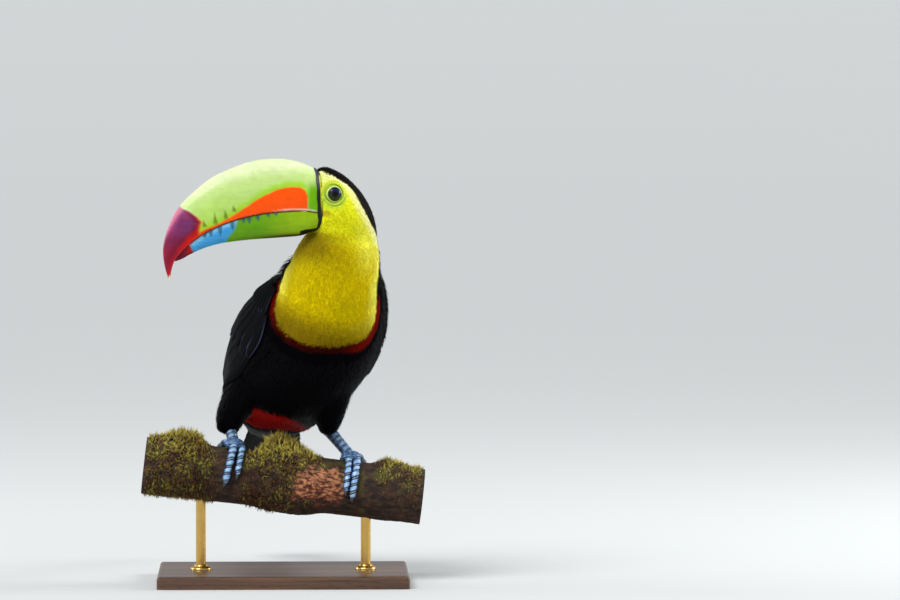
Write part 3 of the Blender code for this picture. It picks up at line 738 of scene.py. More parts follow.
for side_name, (foot_along, lean) in FOOT_PLACES.items():
    outwards = 1 if side_name == "left" else -1
    height = BRANCH_RADIUS + FOOT_HALF_SIZES.z + FOOT_GAP
    foot = branch_point(foot_along * MM, math.radians(lean), height)
    ankle = Vector(ANKLES[side_name]) * MM
    shares = [k / 6 for k in range(7)]
    path = [ankle.lerp(foot, share * 1.04) for share in shares]
    radii = [through(SHANK_RADII, share * 3)[0] * MM for share in shares]
    # The leg starts inside the thigh's feathers, so its top is lengthened upwards.
    path.insert(0, path[0] + (path[0] - path[1]) * 0.8)
    radii.insert(0, radii[0])
    mesh = scaled_limb("leg", path, radii, BODY_LEFT, lambda c: FRONT, 56, 120, LEG_SEED)
    fit(mesh, "leg_" + side_name, scale_finish, "foot_scales", "tarsus_" + side_name)

    def palm(u, v):
        """The middle of the foot, a low pad of small scales between the toes."""
        angle, rise = u * math.tau, (v - 0.5) * math.pi
        out = Vector((math.cos(rise) * math.cos(angle), math.cos(rise) * math.sin(angle), math.sin(rise)))
        near, _ = noise.voronoi(out * 4.8 + Vector((foot_along, 0, 0)))
        groove = ramp(near[1] - near[0], 0.03, 0.3)
        size = [half * (1 + 0.045 * (groove - 1)) for half in FOOT_HALF_SIZES]
        point = foot + Vector(o * s for o, s in zip(out, size))
        return point, blend(CREASE_NAVY, blend(SCALE_BLUE, SCALE_PALE, 0.5 * near[0]), groove)

    fit(mapped("palm", 48, 32, palm), "foot_" + side_name, scale_finish, "foot_scales")

    for toe_name, (begin, stop, turn_from, turn_to, base, claw_length) in TOES[side_name].items():
        start = (foot_along + outwards * begin, turn_from + lean * 0.3)
        end = (foot_along + outwards * stop, turn_to)
        shares = [k / 8 for k in range(9)]
        knuckles = [0.16 * math.sin(3 * math.pi * s) ** 2 for s in shares]
        radii = [base * MM * (1.06 - 0.2 * s + k - 0.08) for s, k in zip(shares, knuckles)]
        path = toe_path(start, end, [r + FOOT_GAP for r in radii])
        label = f"toe_{side_name}_{toe_name}"
        mesh = scaled_limb("toe", path, radii, BRANCH_ALONG, from_branch, seed=begin * 0.37)
        fit(mesh, label + "_scales", scale_finish, "foot_scales", label)
        direction = math.copysign(1.0, turn_to - turn_from)
        sweep = math.degrees(claw_length * MM / (BRANCH_RADIUS + 2 * MM)) * direction
        slant = (stop - begin) / (turn_to - turn_from) * outwards
        overlap = -1.5 * direction
        tip = (end[0] + slant * sweep, end[1] + sweep)
        shares = [k / 7 for k in range(8)]
        claw_radii = [radii[-1] * 0.74 * (1 - s) ** 0.75 + 0.22 * MM for s in shares]
        arch = [r + FOOT_GAP + 1.1 * MM * math.sin(math.pi * s) for r, s in zip(claw_radii, shares)]
        path = toe_path((end[0], end[1] + overlap), tip, arch)
        label = f"claw_{side_name}_{toe_name}"
        fit(claw("claw", path, claw_radii), label + "_horn", claw_finish, "claw_horn", label)

# ---- Bill ----------------------------------------------------------------------
# A light hollow bill of thin horn over a bony mesh, in two mandibles. The horn is
# smooth and glossy, saw-edged where the mandibles meet, and coloured right through.

MOUTH_CORNER = Vector((25.3, -44.0, 296.8)) * MM
HEAD_TURN = math.radians(-75)
HEAD_FORWARD = Vector((math.sin(HEAD_TURN), -math.cos(HEAD_TURN), 0.0))
HEAD_LEFT = UP.cross(HEAD_FORWARD)
# Forward and up, in mm from the mouth's corner, of the culmen along the top and
# of the cutting edge, then the half width there.
UPPER_SECTIONS = (
    (0.0, 0.0, 34.6, 0.0, 0.0, 18.0),
    (1.0, 13.8, 40.0, 12.0, 1.6, 18.2),
    (2.0, 31.0, 42.4, 29.0, 1.5, 17.8),
    (3.0, 50.0, 40.8, 48.0, -0.4, 16.6),
    (4.0, 68.0, 35.0, 64.0, -3.7, 14.7),
    (5.0, 84.0, 27.8, 79.0, -8.8, 12.6),
    (6.0, 98.0, 17.2, 92.5, -15.5, 10.4),
    (7.0, 110.6, 5.0, 103.6, -23.6, 8.0),
    (8.0, 118.9, -9.6, 110.8, -30.4, 6.0),
    (9.0, 123.4, -26.0, 115.4, -37.4, 4.0),
    (10.0, 122.4, -40.2, 117.6, -45.4, 2.2),
    (11.0, 118.9, -52.6, 118.0, -52.8, 0.6),
)
# The lower mandible: its cutting edge, then its keel below, then the half width.
LOWER_SECTIONS = (
    (0.0, 0.4, 0.0, 1.5, -13.5, 17.2),
    (1.0, 12.0, 1.6, 12.0, -17.8, 17.6),
    (2.0, 29.0, 1.5, 29.0, -19.3, 17.0),
    (3.0, 48.0, -0.4, 48.0, -20.4, 15.6),
    (4.0, 64.0, -3.7, 64.0, -21.8, 13.6),
    (5.0, 79.0, -8.8, 78.5, -23.8, 11.4),
    (6.0, 92.5, -15.5, 90.5, -27.0, 9.0),
    (7.0, 103.6, -23.6, 101.4, -31.6, 6.4),
    (8.0, 109.9, -29.4, 108.4, -35.4, 4.0),
    (9.0, 114.6, -36.6, 114.1, -37.5, 0.5),
)
# The side view of the markings, in the same mm. A point out on the bill's side
# is seen further back than the middle by this share of its distance out.
SIDE_SLANT = 0.268
# How much of each mandible's girth is its side inside the mouth, and the gap
# between the two cutting edges in mm.
PALATE_SHARE, FLOOR_SHARE = 0.16, 0.2
MOUTH_GAP = 0.35
ORANGE_TOP = (
    (4.6, 6.0), (5.6, 13.0), (8.0, 18.2), (12.0, 20.6), (18.5, 21.2), (30.3, 19.2), (40.2, 15.0),
    (51.0, 9.0), (59.3, 3.2), (68.4, -2.2), (80.0, -8.0), (90.7, -12.6), (95.0, -15.0),
)
CUTTING_EDGE = (
    (-5.0, 0.4), (7.0, 1.7), (24.0, 1.5), (43.5, -0.4), (60.0, -3.7), (75.6, -8.8), (89.7, -15.5),
    (101.5, -23.6), (109.2, -30.4), (114.3, -37.4), (117.0, -45.4), (117.9, -52.8),
)
TIP_EDGE = (
    (-13.0, 95.1), (-9.2, 93.8), (-6.5, 92.1), (-2.9, 95.1), (1.8, 102.1), (4.5, 108.3), (8.0, 112.0),
)
UPPER_TEETH = ((91.0, -10.5, 6.0), (82.1, -8.6, 10.6), (73.6, -4.4, 8.2), (66.9, 1.6, 5.4))
LOWER_TEETH = (
    (89.9, 4.0), (85.0, 5.6), (77.5, 8.8), (67.6, 8.0), (58.5, 4.6), (53.9, 6.4),
    (46.9, 5.6), (38.6, 3.4), (32.0, 3.2),
)


def palette(**colours):
    """Named colours from their sRGB hex codes."""
    return {name: linear(colour) for name, colour in colours.items()}


HORN = palette(
    pale="bed884", cream="d6e2b0", leaf="9cd024", moss="6cb000", orange="ff5400", amber="f08a10",
    plum="8c3466", rose="b85e86", wine="700a20", crimson="8c0a20", blush="c87c92", red="c41004",
    black="0c0d12", slate="4a5068", blue="3c9ad6", sky="86c6e6", grass="5f9a08", lime="93b80c",
    olive="5a6a14", navy="1c4a66", bone="e6dfc0", ember="d0340a", dusk="54285a",
)


def painted(base, *layers):
    """Lays colours over a base, each as (its name in HORN or itself, share)."""
    colour = HORN.get(base, base)
    for layer, share in layers:
        colour = blend(colour, HORN.get(layer, layer), share)
    return colour


def in_head(forward, left, up):
    """The place so many mm forward, left and up of the mouth's corner."""
    return MOUTH_CORNER + HEAD_FORWARD * (forward * MM) + HEAD_LEFT * (left * MM) + UP * (up * MM)


def along_curve(points, x):
    """The second value at x on straight runs through pairs."""
    for (a, p), (b, q) in zip(points, points[1:]):
        if x <= b:
            return p + (q - p) * min(max((x - a) / (b - a), 0.0), 1.0)
    return points[-1][1]


def through_culmen(up):
    """How far forward the ridge of the bill's hooked end lies at a height."""
    return along_curve([(-row[2], row[1]) for row in UPPER_SECTIONS[2:]], -up)


def from_edge(seen, up):
    """How far a place in the side view is from the cutting edge, in mm."""
    nearest = 1e9
    for (ax, ay), (bx, by) in zip(CUTTING_EDGE, CUTTING_EDGE[1:]):
        run_x, run_y = bx - ax, by - ay
        share = ((seen - ax) * run_x + (up - ay) * run_y) / (run_x * run_x + run_y * run_y)
        share = min(max(share, 0.0), 1.0)
        nearest = min(nearest, math.hypot(seen - ax - share * run_x, up - ay - share * run_y))
    return nearest


def from_head(point):
    """Forward, left and up of a point in mm from the mouth's corner."""
    away = (point - MOUTH_CORNER) / MM
    return away.dot(HEAD_FORWARD), away.dot(HEAD_LEFT), away.z


def upper_colour(point):
    """The upper mandible's colour, from its pale green back to its plum tip."""
    forward, left, up = from_head(point)
    seen = forward - SIDE_SLANT * abs(left)
    edge = along_curve(CUTTING_EDGE, seen)
    over = up - along_curve(ORANGE_TOP, seen)
    rim = from_edge(seen, up)
    beyond = seen - along_curve(TIP_EDGE, up)
    ridge = through_culmen(up) - seen
    wander = noise.noise(Vector((seen * 0.12, up * 0.12, 3.0)))
    streaks = noise.noise(Vector((seen * 0.03 + up * 0.25, up * 0.5 - seen * 0.1, 8.0)))
    halo = (1 - ramp(over, 1.0, 8.0 + 3 * wander)) * ramp(over, -2.0, 1.0)
    inside = ramp(0.6 * wander - over, -0.7, 0.9) * ramp(seen, 5.0, 6.8)
    colour = painted(
        "pale",
        ("cream", ramp(up - 0.9 * edge, 27, 38) + 0.3 * streaks),
        ("leaf", (0.25 + 0.3 * ramp(seen, 48, 90)) * (1 - ramp(up - edge, 12, 34))),
        ("leaf", 0.95 * halo),
        ("moss", (1 - ramp(seen, 3.0, 8.5)) * (1 - ramp(up, 18, 27))),
        (painted("orange", ("amber", ramp(seen, 56, 92) * 0.45)), inside),
    )
    for tooth, low, length in UPPER_TEETH:
        rise = (up - low) / length
        half = 2.3 * (1 - rise)
        across = abs(seen - tooth - 1.2 * rise + 1.4)
        if rise < 1:
            mark = ramp(half - across, -0.7, 1.0) * ramp(rise, -0.2, 0.3)
            colour = painted(colour, ("olive", 0.8 * mark))
    # The tip: plum from the culmen in, wine coloured deeper down, red at the edge.
    dusky = ramp(ridge, 3.5, 8.0) * ramp(-up, -3, 6) * (1 - ramp(-up, 18, 32))
    plum = painted("rose", ("plum", ramp(ridge, 0.2, 4.0) + 0.35 * streaks + ramp(-up, 6, 22)))
    plum = painted(
        "blush",
        (plum, ramp(ridge - 0.2 * up, -4.0, 7.0)),
        ("dusk", (0.5 + 0.3 * streaks) * dusky),
        ("wine", 0.7 * ramp(7.0 - beyond, -1, 4) * ramp(-up, -4, 2)),
        ("red", 0.6 * ramp(3.5 - beyond, -1, 2.5) * ramp(-up, -2, 5)),
        ("wine", 0.6 * ramp(-up, 10, 22) * (1 - ramp(-up, 26, 38))),
        ("crimson", 0.85 * ramp(-up, 20, 36)),
        ("wine", 0.6 * ramp(8.0 - rim, -2, 3) * (1 - ramp(-up, 30, 44))),
    )
    tip = ramp(beyond + 0.8 * wander, -1.9, 1.8)
    border = 5.6 - 3.6 * ramp(-up, 10, 36)
    flame = ramp(border + 1.2 * wander - rim, -2.6, 1.6) * ramp(seen, 88, 93)
    ember = ramp(2.6 - rim, -0.6, 1.0) * ramp(seen, 78, 88) * (1 - ramp(seen, 97, 104))
    white = ramp(1.5 - abs(rim - 1.0), 0.6, 1.1) * ramp(36 - seen, 0, 4) * ramp(seen, -4, 1)
    dark = ramp(0.7 - rim, -0.25, 0.3) * ramp(seen, -6, 0) * (1 - ramp(seen, 96, 104))
    band = 1.6 + 0.6 * ramp(22 - up, 0, 12) + 0.25 * wander
    return painted(
        colour,
        (painted("amber", ("cream", ramp(up, -8, 3))), 0.45 * ramp(beyond, -2.8, -0.4)),
        (plum, tip),
        ("red", tip * flame * (1 - 0.35 * ramp(-up, 20, 40))),
        ("ember", 0.8 * ember),
        ("wine", 0.8 * tip * ramp(0.9 - rim, -0.3, 0.3) * (1 - ramp(seen, 100, 104))),
        # A pale rose line along the hook's cutting edge: painted highlight.
        ("rose", 0.4 * tip * ramp(0.75 - rim, -0.3, 0.2) * ramp(seen, 100, 104)),
        ("bone", ramp(-up, 47.0, 50.0) * ramp(1.6 - rim, -0.5, 0.5)),
        ("bone", ramp(-up, 50.2, 51.2)),
        ("bone", 0.85 * white),
        ("wine", 0.85 * dark),
        # The black band at the bill's base, slate on its upper part as a painted highlight.
        (painted("black", ("slate", ramp(up, 16, 26))), ramp(band - forward, -0.25, 0.35)),
    )


def lower_colour(point):
    """The lower mandible's colour: green, then blue, then a dark red tip."""
    forward, left, up = from_head(point)
    seen = forward - SIDE_SLANT * abs(left)
    below = along_curve(CUTTING_EDGE, seen) - up
    wander = noise.noise(Vector((seen * 0.12, up * 0.12, 13.0)))
    streaks = noise.noise(Vector((seen * 0.05, up * 0.6, 18.0)))
    blue = painted("sky", ("blue", ramp(below, 0.5, 5.0) + 0.3 * streaks))
    border = 66.0 + 0.75 * (below - 5) + 2.0 * wander
    colour = painted(
        "lime",
        ("grass", ramp(seen, 8, 52) + 0.25 * streaks),
        # Olive and darker towards the bottom: painted shade on the underside.
        ("olive", 0.7 * ramp(below, 14, 20)),
        (blue, ramp(seen, border - 3.0, border + 2.5)),
    )
    for tooth, length in LOWER_TEETH:
        rise = below / length
        across = abs(seen - tooth + 0.8 * rise)
        if rise < 1:
            mark = ramp(2.2 * (1 - max(rise, 0.0) ** 1.5) - across, -0.6, 1.0) * ramp(rise, 0.0, 0.1)
            colour = painted(colour, ("navy", 0.75 * mark))
    start = 101.9 - 0.39 * (below - 1.0)
    tip = painted(
        "wine",
        ("red", 0.1 + 0.8 * (1 - ramp(seen, 100, 106)) + 0.3 * streaks),
        ("black", 0.7 * ramp(below - 6.0, -1.0, 2.5)),
    )
    band = 1.6 + 0.25 * wander + 14.0 * ramp(below, 12.0, 16.0)
    keel = ramp(below - 18.0 - 0.02 * seen, -1.2, 0.6) * (1 - ramp(seen, 30, 75))
    return painted(
        colour,
        ("olive", 0.4 * ramp(1.2 - abs(seen - start + 0.8), 0, 1.2)),
        (tip, ramp(seen + 0.5 * wander, start - 0.5, start + 0.5)),
        ("black", 0.55 * ramp(0.5 - below, -0.4, 0.3) * (1 - ramp(seen, 84, 96))),
        ("black", ramp(band - forward, -0.3, 0.9)),
        ("black", 0.85 * keel),
    )


def saw(along):
    """The small notches in a cutting edge, in mm, deepest half way to the tip."""
    pitch = 4.2
    bite = 1 - abs((along / pitch) % 1.0 - 0.5) * 2
    return 0.55 * bite**2 * ramp(along, 26, 40) * (1 - ramp(along, 84, 98))


def bulged(value, power):
    """A cosine or sine raised to a power, with its sign kept."""
    return math.copysign(abs(value) ** power, value)


def upper_mandible(u, v):
    """The upper mandible's outside, then its palate, from one edge to the other."""
    s = v * UPPER_SECTIONS[-1][0]
    top_f, top_u, edge_f, edge_u, half_width = through(UPPER_SECTIONS, s)
    low, high = in_head(edge_f, 0, edge_u), in_head(top_f, 0, top_u)
    if u < 1 - PALATE_SHARE:
        angle = math.pi * u / (1 - PALATE_SHARE)
        rise = math.sin(angle) ** 0.85
        across = bulged(math.cos(angle), 0.78) * (1 - 0.12 * (1 - rise) ** 4)
        keel = 0.5 * math.exp(-((across / 0.16) ** 2))
        keel -= 0.35 * math.exp(-(((abs(across) - 0.42) / 0.16) ** 2))
        ripple = 0.16 * noise.noise(Vector((s * 5.0, angle * 2.0, 1.0)))
        rise_mm = (keel + ripple) * min(half_width / 10, 1) * ramp(rise, 0.3, 0.8)
        point = low.lerp(high, rise) + HEAD_LEFT * across * half_width * MM + UP * rise_mm * MM
        if rise < 0.08:
            point += UP * saw(edge_f) * (1 - rise / 0.08) * MM
    else:
        share = (u - 1 + PALATE_SHARE) / PALATE_SHARE
        across = -math.cos(math.pi * share) * 0.88
        vault = 0.05 * math.sin(math.pi * share)
        point = low.lerp(high, vault) + HEAD_LEFT * across * half_width * MM
        point += UP * saw(edge_f) * abs(across) ** 8 * MM
    close = ramp(UPPER_SECTIONS[-1][0] - s, 0, 0.12)
    return low.lerp(point, 0.25 + 0.75 * close), upper_colour(point)


def lower_mandible(u, v):
    """The lower mandible's outside, then the floor of the mouth."""
    s = v * LOWER_SECTIONS[-1][0]
    edge_f, edge_u, keel_f, keel_u, half_width = through(LOWER_SECTIONS, s)
    high, low = in_head(edge_f, 0, edge_u - MOUTH_GAP), in_head(keel_f, 0, keel_u)
    if u < 1 - FLOOR_SHARE:
        angle = math.pi * u / (1 - FLOOR_SHARE)
        drop = math.sin(angle) ** 0.9
        across = bulged(math.cos(angle), 0.62) * 0.9
    else:
        share = (u - 1 + FLOOR_SHARE) / FLOOR_SHARE
        drop = 0.02 * math.sin(math.pi * share)
        across = -math.cos(math.pi * share) * 0.9
    point = high.lerp(low, drop) + HEAD_LEFT * across * half_width * MM
    close = ramp(LOWER_SECTIONS[-1][0] - s, 0, 0.12)
    return high.lerp(point, 0.25 + 0.75 * close), lower_colour(point)


# Bill horn: keratin polished by wear. Light sinks a little way into it, and it
# has a clear even gloss with the faintest growth ripples and scratches.
horn_finish, tree, surface = finish_of(
    "polished_bill_horn", (1.2, 0.8, 0.4), Roughness=0.4, IOR=1.54, Specular_IOR_Level=0.1,
    Coat_Weight=0.1, Coat_Roughness=0.12, Subsurface_Weight=0.06,
)
place = add(tree, "TexCoord").outputs["Object"]
turned = {0: place, "Rotation": (0, math.radians(18), 0), "Scale": (60.0, 200.0, 420.0)}
grown = add(tree, "Mapping", turned)
fibre = add(tree, "TexNoise", {0: grown.outputs[0], "Scale": 1.0, "Detail": 4.0})
cloud = add(tree, "TexNoise", {0: place, "Scale": 160.0, "Detail": 3.0})
tone = tinted(tree, surface, fibre.outputs[0], 0.3, 0.7, 0.965, 1.03, 0.12, 0.0003)
tone = shaded(tree, tone, cloud.outputs[0], 0.3, 0.7, 0.94, 1.06)
tree.links.new(tone, surface.inputs["Base Color"])
gloss = add(tree, "MapRange", {0: cloud.outputs[0], 1: 0.3, 2: 0.7, 3: 0.28, 4: 0.42})
tree.links.new(gloss.outputs[0], surface.inputs["Roughness"])
for name, outline, around, along in (
    ("bill_upper", upper_mandible, 190, 250), ("bill_lower", lower_mandible, 130, 230),
):
    fit(mapped(name, around, along, outline), name + "_horn", horn_finish, "bill_horn", name)

# ---- Skin ----------------------------------------------------------------------
# One soft skin over head, neck, trunk, thighs, wings and tail, tanned and dyed to the plumage's colours,
# with the same painted light and shade as the coat. It lies under the feathers by the depth of the coat.

FLESH = (
    "head", "neck", "trunk", "thigh_left", "thigh_right", "wing_left", "wing_right", "tail",
)
SKIN_SWELL = 0.5 * MM
SKIN_FINENESS = 2.0 * MM
SKIN_SMOOTHINGS = 7
AT_ONCE = 4000
HEAD_DEPTH, BIB_DEPTH, BODY_DEPTH, TAIL_DEPTH = 1.2 * MM, 1.3 * MM, 1.7 * MM, 1.4 * MM
BODY_TURN = math.radians(20)
BODY_MIDDLE = Vector((17.0, 5.0, 183.0)) * MM
BODY_FORWARD = Vector((math.sin(BODY_TURN), -math.cos(BODY_TURN), 0.0))
TAIL_TURN, TAIL_DROP = math.radians(5), math.radians(27)
TAIL_FORWARD = Vector((math.sin(TAIL_TURN), -math.cos(TAIL_TURN), 0.0))
TAIL_LEFT = UP.cross(TAIL_FORWARD)
TAIL_RUN = -TAIL_FORWARD * math.cos(TAIL_DROP) - UP * math.sin(TAIL_DROP)
TAIL_RISE = TAIL_LEFT.cross(TAIL_RUN)
TAIL_ROOT = BODY_MIDDLE + (BODY_FORWARD * -70 + BODY_LEFT * 1.5 + UP * -53) * MM
# The torso, tail end first: forward, left and up of each section in mm, then
# its half width and half depth.
TORSO_SECTIONS = (
    (0.0, -94, 0, -68, 14, 8), (1.0, -76, 0, -58, 25, 18), (2.0, -51, -2, -41, 40, 32),
    (3.0, -25, -6, -21, 47.5, 44), (4.0, 0, -2.8, 0, 53.6, 50), (5.0, 21, 5.5, 23, 51.5, 50),
    (6.0, 34.5, 11, 47, 44.5, 45.5), (7.0, 42, 11.5, 69, 37, 37), (8.0, 46, 15.4, 90, 31, 27.5),
    (9.0, 46, 19, 111, 20, 17),
)
TORSO_FULLNESS = 2.15
# The folded wing on the torso, front to tip: section, then lower and upper edge
# in degrees round from the side.
WING_SECTIONS = (
    (0.0, 6.9, 12, 34), (1.0, 6.3, 6, 48), (2.0, 5.4, -4, 58), (3.0, 4.4, -20, 68),
    (4.0, 3.3, -16, 76), (5.0, 2.3, 4, 81), (6.0, 1.4, 30, 82), (7.0, 0.8, 54, 81),
)
# The bib's outline: degrees round the torso from its left side, and section.
BIB = (
    (-27, 9.2), (-28, 8.3), (-30, 7.7), (-38, 7.25), (-51, 6.7), (-55, 6.3), (-58, 5.9),
    (-65, 5.65), (-74, 5.5), (-94, 5.35), (-112, 5.24), (-126, 5.15), (-144, 5.1), (-157, 5.17),
    (-169, 5.4), (-178, 5.75), (-187, 6.4), (-196, 6.95), (-225, 7.35), (-280, 7.75),
    (-322, 8.15), (-333, 9.2),
)
SECTION_LENGTH = 22.0
MM_PER_DEGREE = 0.66
RED_BAND = 3.0
# The cap's edge on the side of the head: height, then how far forward.
CAP_EDGE = (
    (-60.0, -51.5), (-28.6, -50.6), (-21.8, -49.8), (-14.7, -45.4), (-7.9, -40.8), (-0.7, -36.6),
    (7.2, -32.0), (12.7, -29.2), (17.7, -26.6), (22.2, -22.0), (26.1, -16.4), (29.5, -10.6),
    (32.4, -5.0), (33.4, 0.5), (36.0, 3.0),
)
HEAD_BOTTOM = -25.0
EYE = (-10.3, 17.0, 15.2)
# The red under the tail: across in mm, then its upper and lower edges' heights.
VENT = (
    (-40, 142, 130), (-33, 141, 128), (-27, 139.2, 125), (-21, 137.2, 122), (-13, 134.2, 121.5),
    (0, 131, 120), (3, 130.2, 120), (14, 125.2, 119), (18, 121, 118.5),
)
YELLOW = palette(
    bright="f2e408", lemon="fcf84c", pale="fffcac", gold="d0b200", ochre="9a7c04", olive="6a5208",
    green="b4d83c", orange="a8681c", lime="c4dc30", straw="d4d448", spring="f4f61c",
)
BLACK, NAPE_BLACK = linear("050508"), linear("100c0a")
BAND_DARK, BAND_RED = linear("340502"), linear("6e0b04")
CRIMSON, RUMP_WHITE = linear("a80c06"), linear("e8e4da")
# The feathered thighs: X, Y, Z and radius in mm, from the hip down.
THIGHS = (
    ((-27.5, -3, 163, 17.5), (-37, 2, 144, 14.5), (-43, 8, 130, 12.5), (-45, 12, 119, 9.5)),
    ((40, -6, 163, 19), (39.5, 0, 144, 14), (37, 8, 130, 11.5), (36, 14, 118.5, 8.5)),
)
THIGH_ROOM = 1.0


def torso_section(s):
    """Centre, side and back directions and half sizes of the torso at s."""
    forward, left, up, half_width, half_depth = (v * MM for v in through(TORSO_SECTIONS, s))
    ends = []
    for step in (0.05, -0.05):
        row = through(TORSO_SECTIONS, s + step)
        ends.append((BODY_FORWARD * row[0] + BODY_LEFT * row[1] + UP * row[2]) * MM)
    run = (ends[0] - ends[1]).normalized()
    side = (BODY_LEFT - run * BODY_LEFT.dot(run)).normalized()
    centre = BODY_MIDDLE + BODY_FORWARD * forward + BODY_LEFT * left + UP * up
    return centre, side, run.cross(side), half_width, half_depth


def in_torso(points):
    """Each point's section along the torso and degrees round it, from -300 to 60."""
    steps = np.linspace(0.0, TORSO_SECTIONS[-1][0], 181)
    rows = [torso_section(s) for s in steps]
    centres, sides, backs = (np.array([row[k][:] for row in rows]) for k in range(3))
    halves = np.array([row[3:] for row in rows])
    runs = np.cross(sides, backs)
    section, turn, run = np.zeros(len(points)), np.zeros(len(points)), np.zeros((len(points), 3))
    # A few thousand at a time, to spare memory.
    for start in range(0, len(points), AT_ONCE):
        these = slice(start, start + AT_ONCE)
        part = points[these]
        away = part[:, None] - centres[None]
        off = np.abs(np.einsum("pcx,cx->pc", away, runs)) + 0.12 * np.linalg.norm(away, axis=2)
        best = np.argmin(off, axis=1)
        gap = part - centres[best]
        across = np.einsum("px,px->p", gap, sides[best]) / halves[best, 0]
        rise = np.einsum("px,px->p", gap, backs[best]) / halves[best, 1]
        section[these], run[these] = steps[best], runs[best]
        turn[these] = np.degrees(np.arctan2(rise, across))
    return section, np.where(turn > 60, turn - 360, turn), run


def inside_bib(section, turn):
    """How far inside the bib each place lies, in mm; outside it is negative."""
    x, y = turn * MM_PER_DEGREE, section * SECTION_LENGTH
    outline = [(a * MM_PER_DEGREE, s * SECTION_LENGTH) for a, s in BIB]
    nearest, inside = np.full(len(x), 1e9), np.zeros(len(x), bool)
    for (ax, ay), (bx, by) in zip(outline, outline[1:] + outline[:1]):
        share = ((x - ax) * (bx - ax) + (y - ay) * (by - ay)) / ((bx - ax) ** 2 + (by - ay) ** 2)
        share = np.clip(share, 0, 1)
        gap = np.hypot(x - ax - share * (bx - ax), y - ay - share * (by - ay))
        nearest = np.minimum(nearest, gap)
        with np.errstate(divide="ignore", invalid="ignore"):
            crosses = ((ay > y) != (by > y)) & (x < (bx - ax) * (y - ay) / (by - ay) + ax)
        inside ^= crosses
    return np.where(inside, nearest, -nearest)


def on_thigh(points):
    """1 where a point is on a thigh below the trunk, 0 elsewhere."""
    nearest = np.full(len(points), 1e9)
    for rows in THIGHS:
        for (ax, ay, az, ar), (bx, by, bz, br) in zip(rows, rows[1:]):
            a, b = np.array((ax, ay, az)) * MM, np.array((bx, by, bz)) * MM
            share = np.clip((points - a) @ (b - a) / ((b - a) @ (b - a)), 0, 1)
            gap = np.linalg.norm(points - a - share[:, None] * (b - a), axis=1) / MM
            nearest = np.minimum(nearest, gap - (ar + (br - ar) * share))
    return smooth(-nearest, -THIGH_ROOM - 1.0, -THIGH_ROOM + 1.0) * smooth(-points[:, 2], -0.166, -0.158)


def under_wing(section, turn):
    """How deep inside a folded wing's outline each place lies, in degrees."""
    fronts, lows, highs = (np.array([row[k] for row in WING_SECTIONS[::-1]]) for k in (1, 2, 3))
    level = np.where(turn < -270, turn + 360, np.where(turn < -90, -180 - turn, turn))
    low, high = np.interp(section, fronts, lows), np.interp(section, fronts, highs)
    return np.minimum(level - low, high - level)


def smooth(value, low, high):
    """The same smooth rise as ramp, for many values at once."""
    share = np.clip((value - low) / (high - low), 0, 1)
    return share * share * (3 - 2 * share)


def ripple(points, size, seed):
    """Smooth noise at each point, with bumps about this many mm apart."""
    scale = 1 / (size * MM)
    return np.array([noise.noise(Vector(p) * scale + Vector((seed, 0, 0))) for p in points])


def layered(base, *layers):
    """Lays colours over a base, each as (colour, how much at each point)."""
    tint = np.tile(np.array(base), (len(layers[0][1]), 1))
    for colour, share in layers:
        share = np.clip(share, 0, 1)[:, None]
        tint = tint * (1 - share) + np.array(colour)[None] * share
    return tint


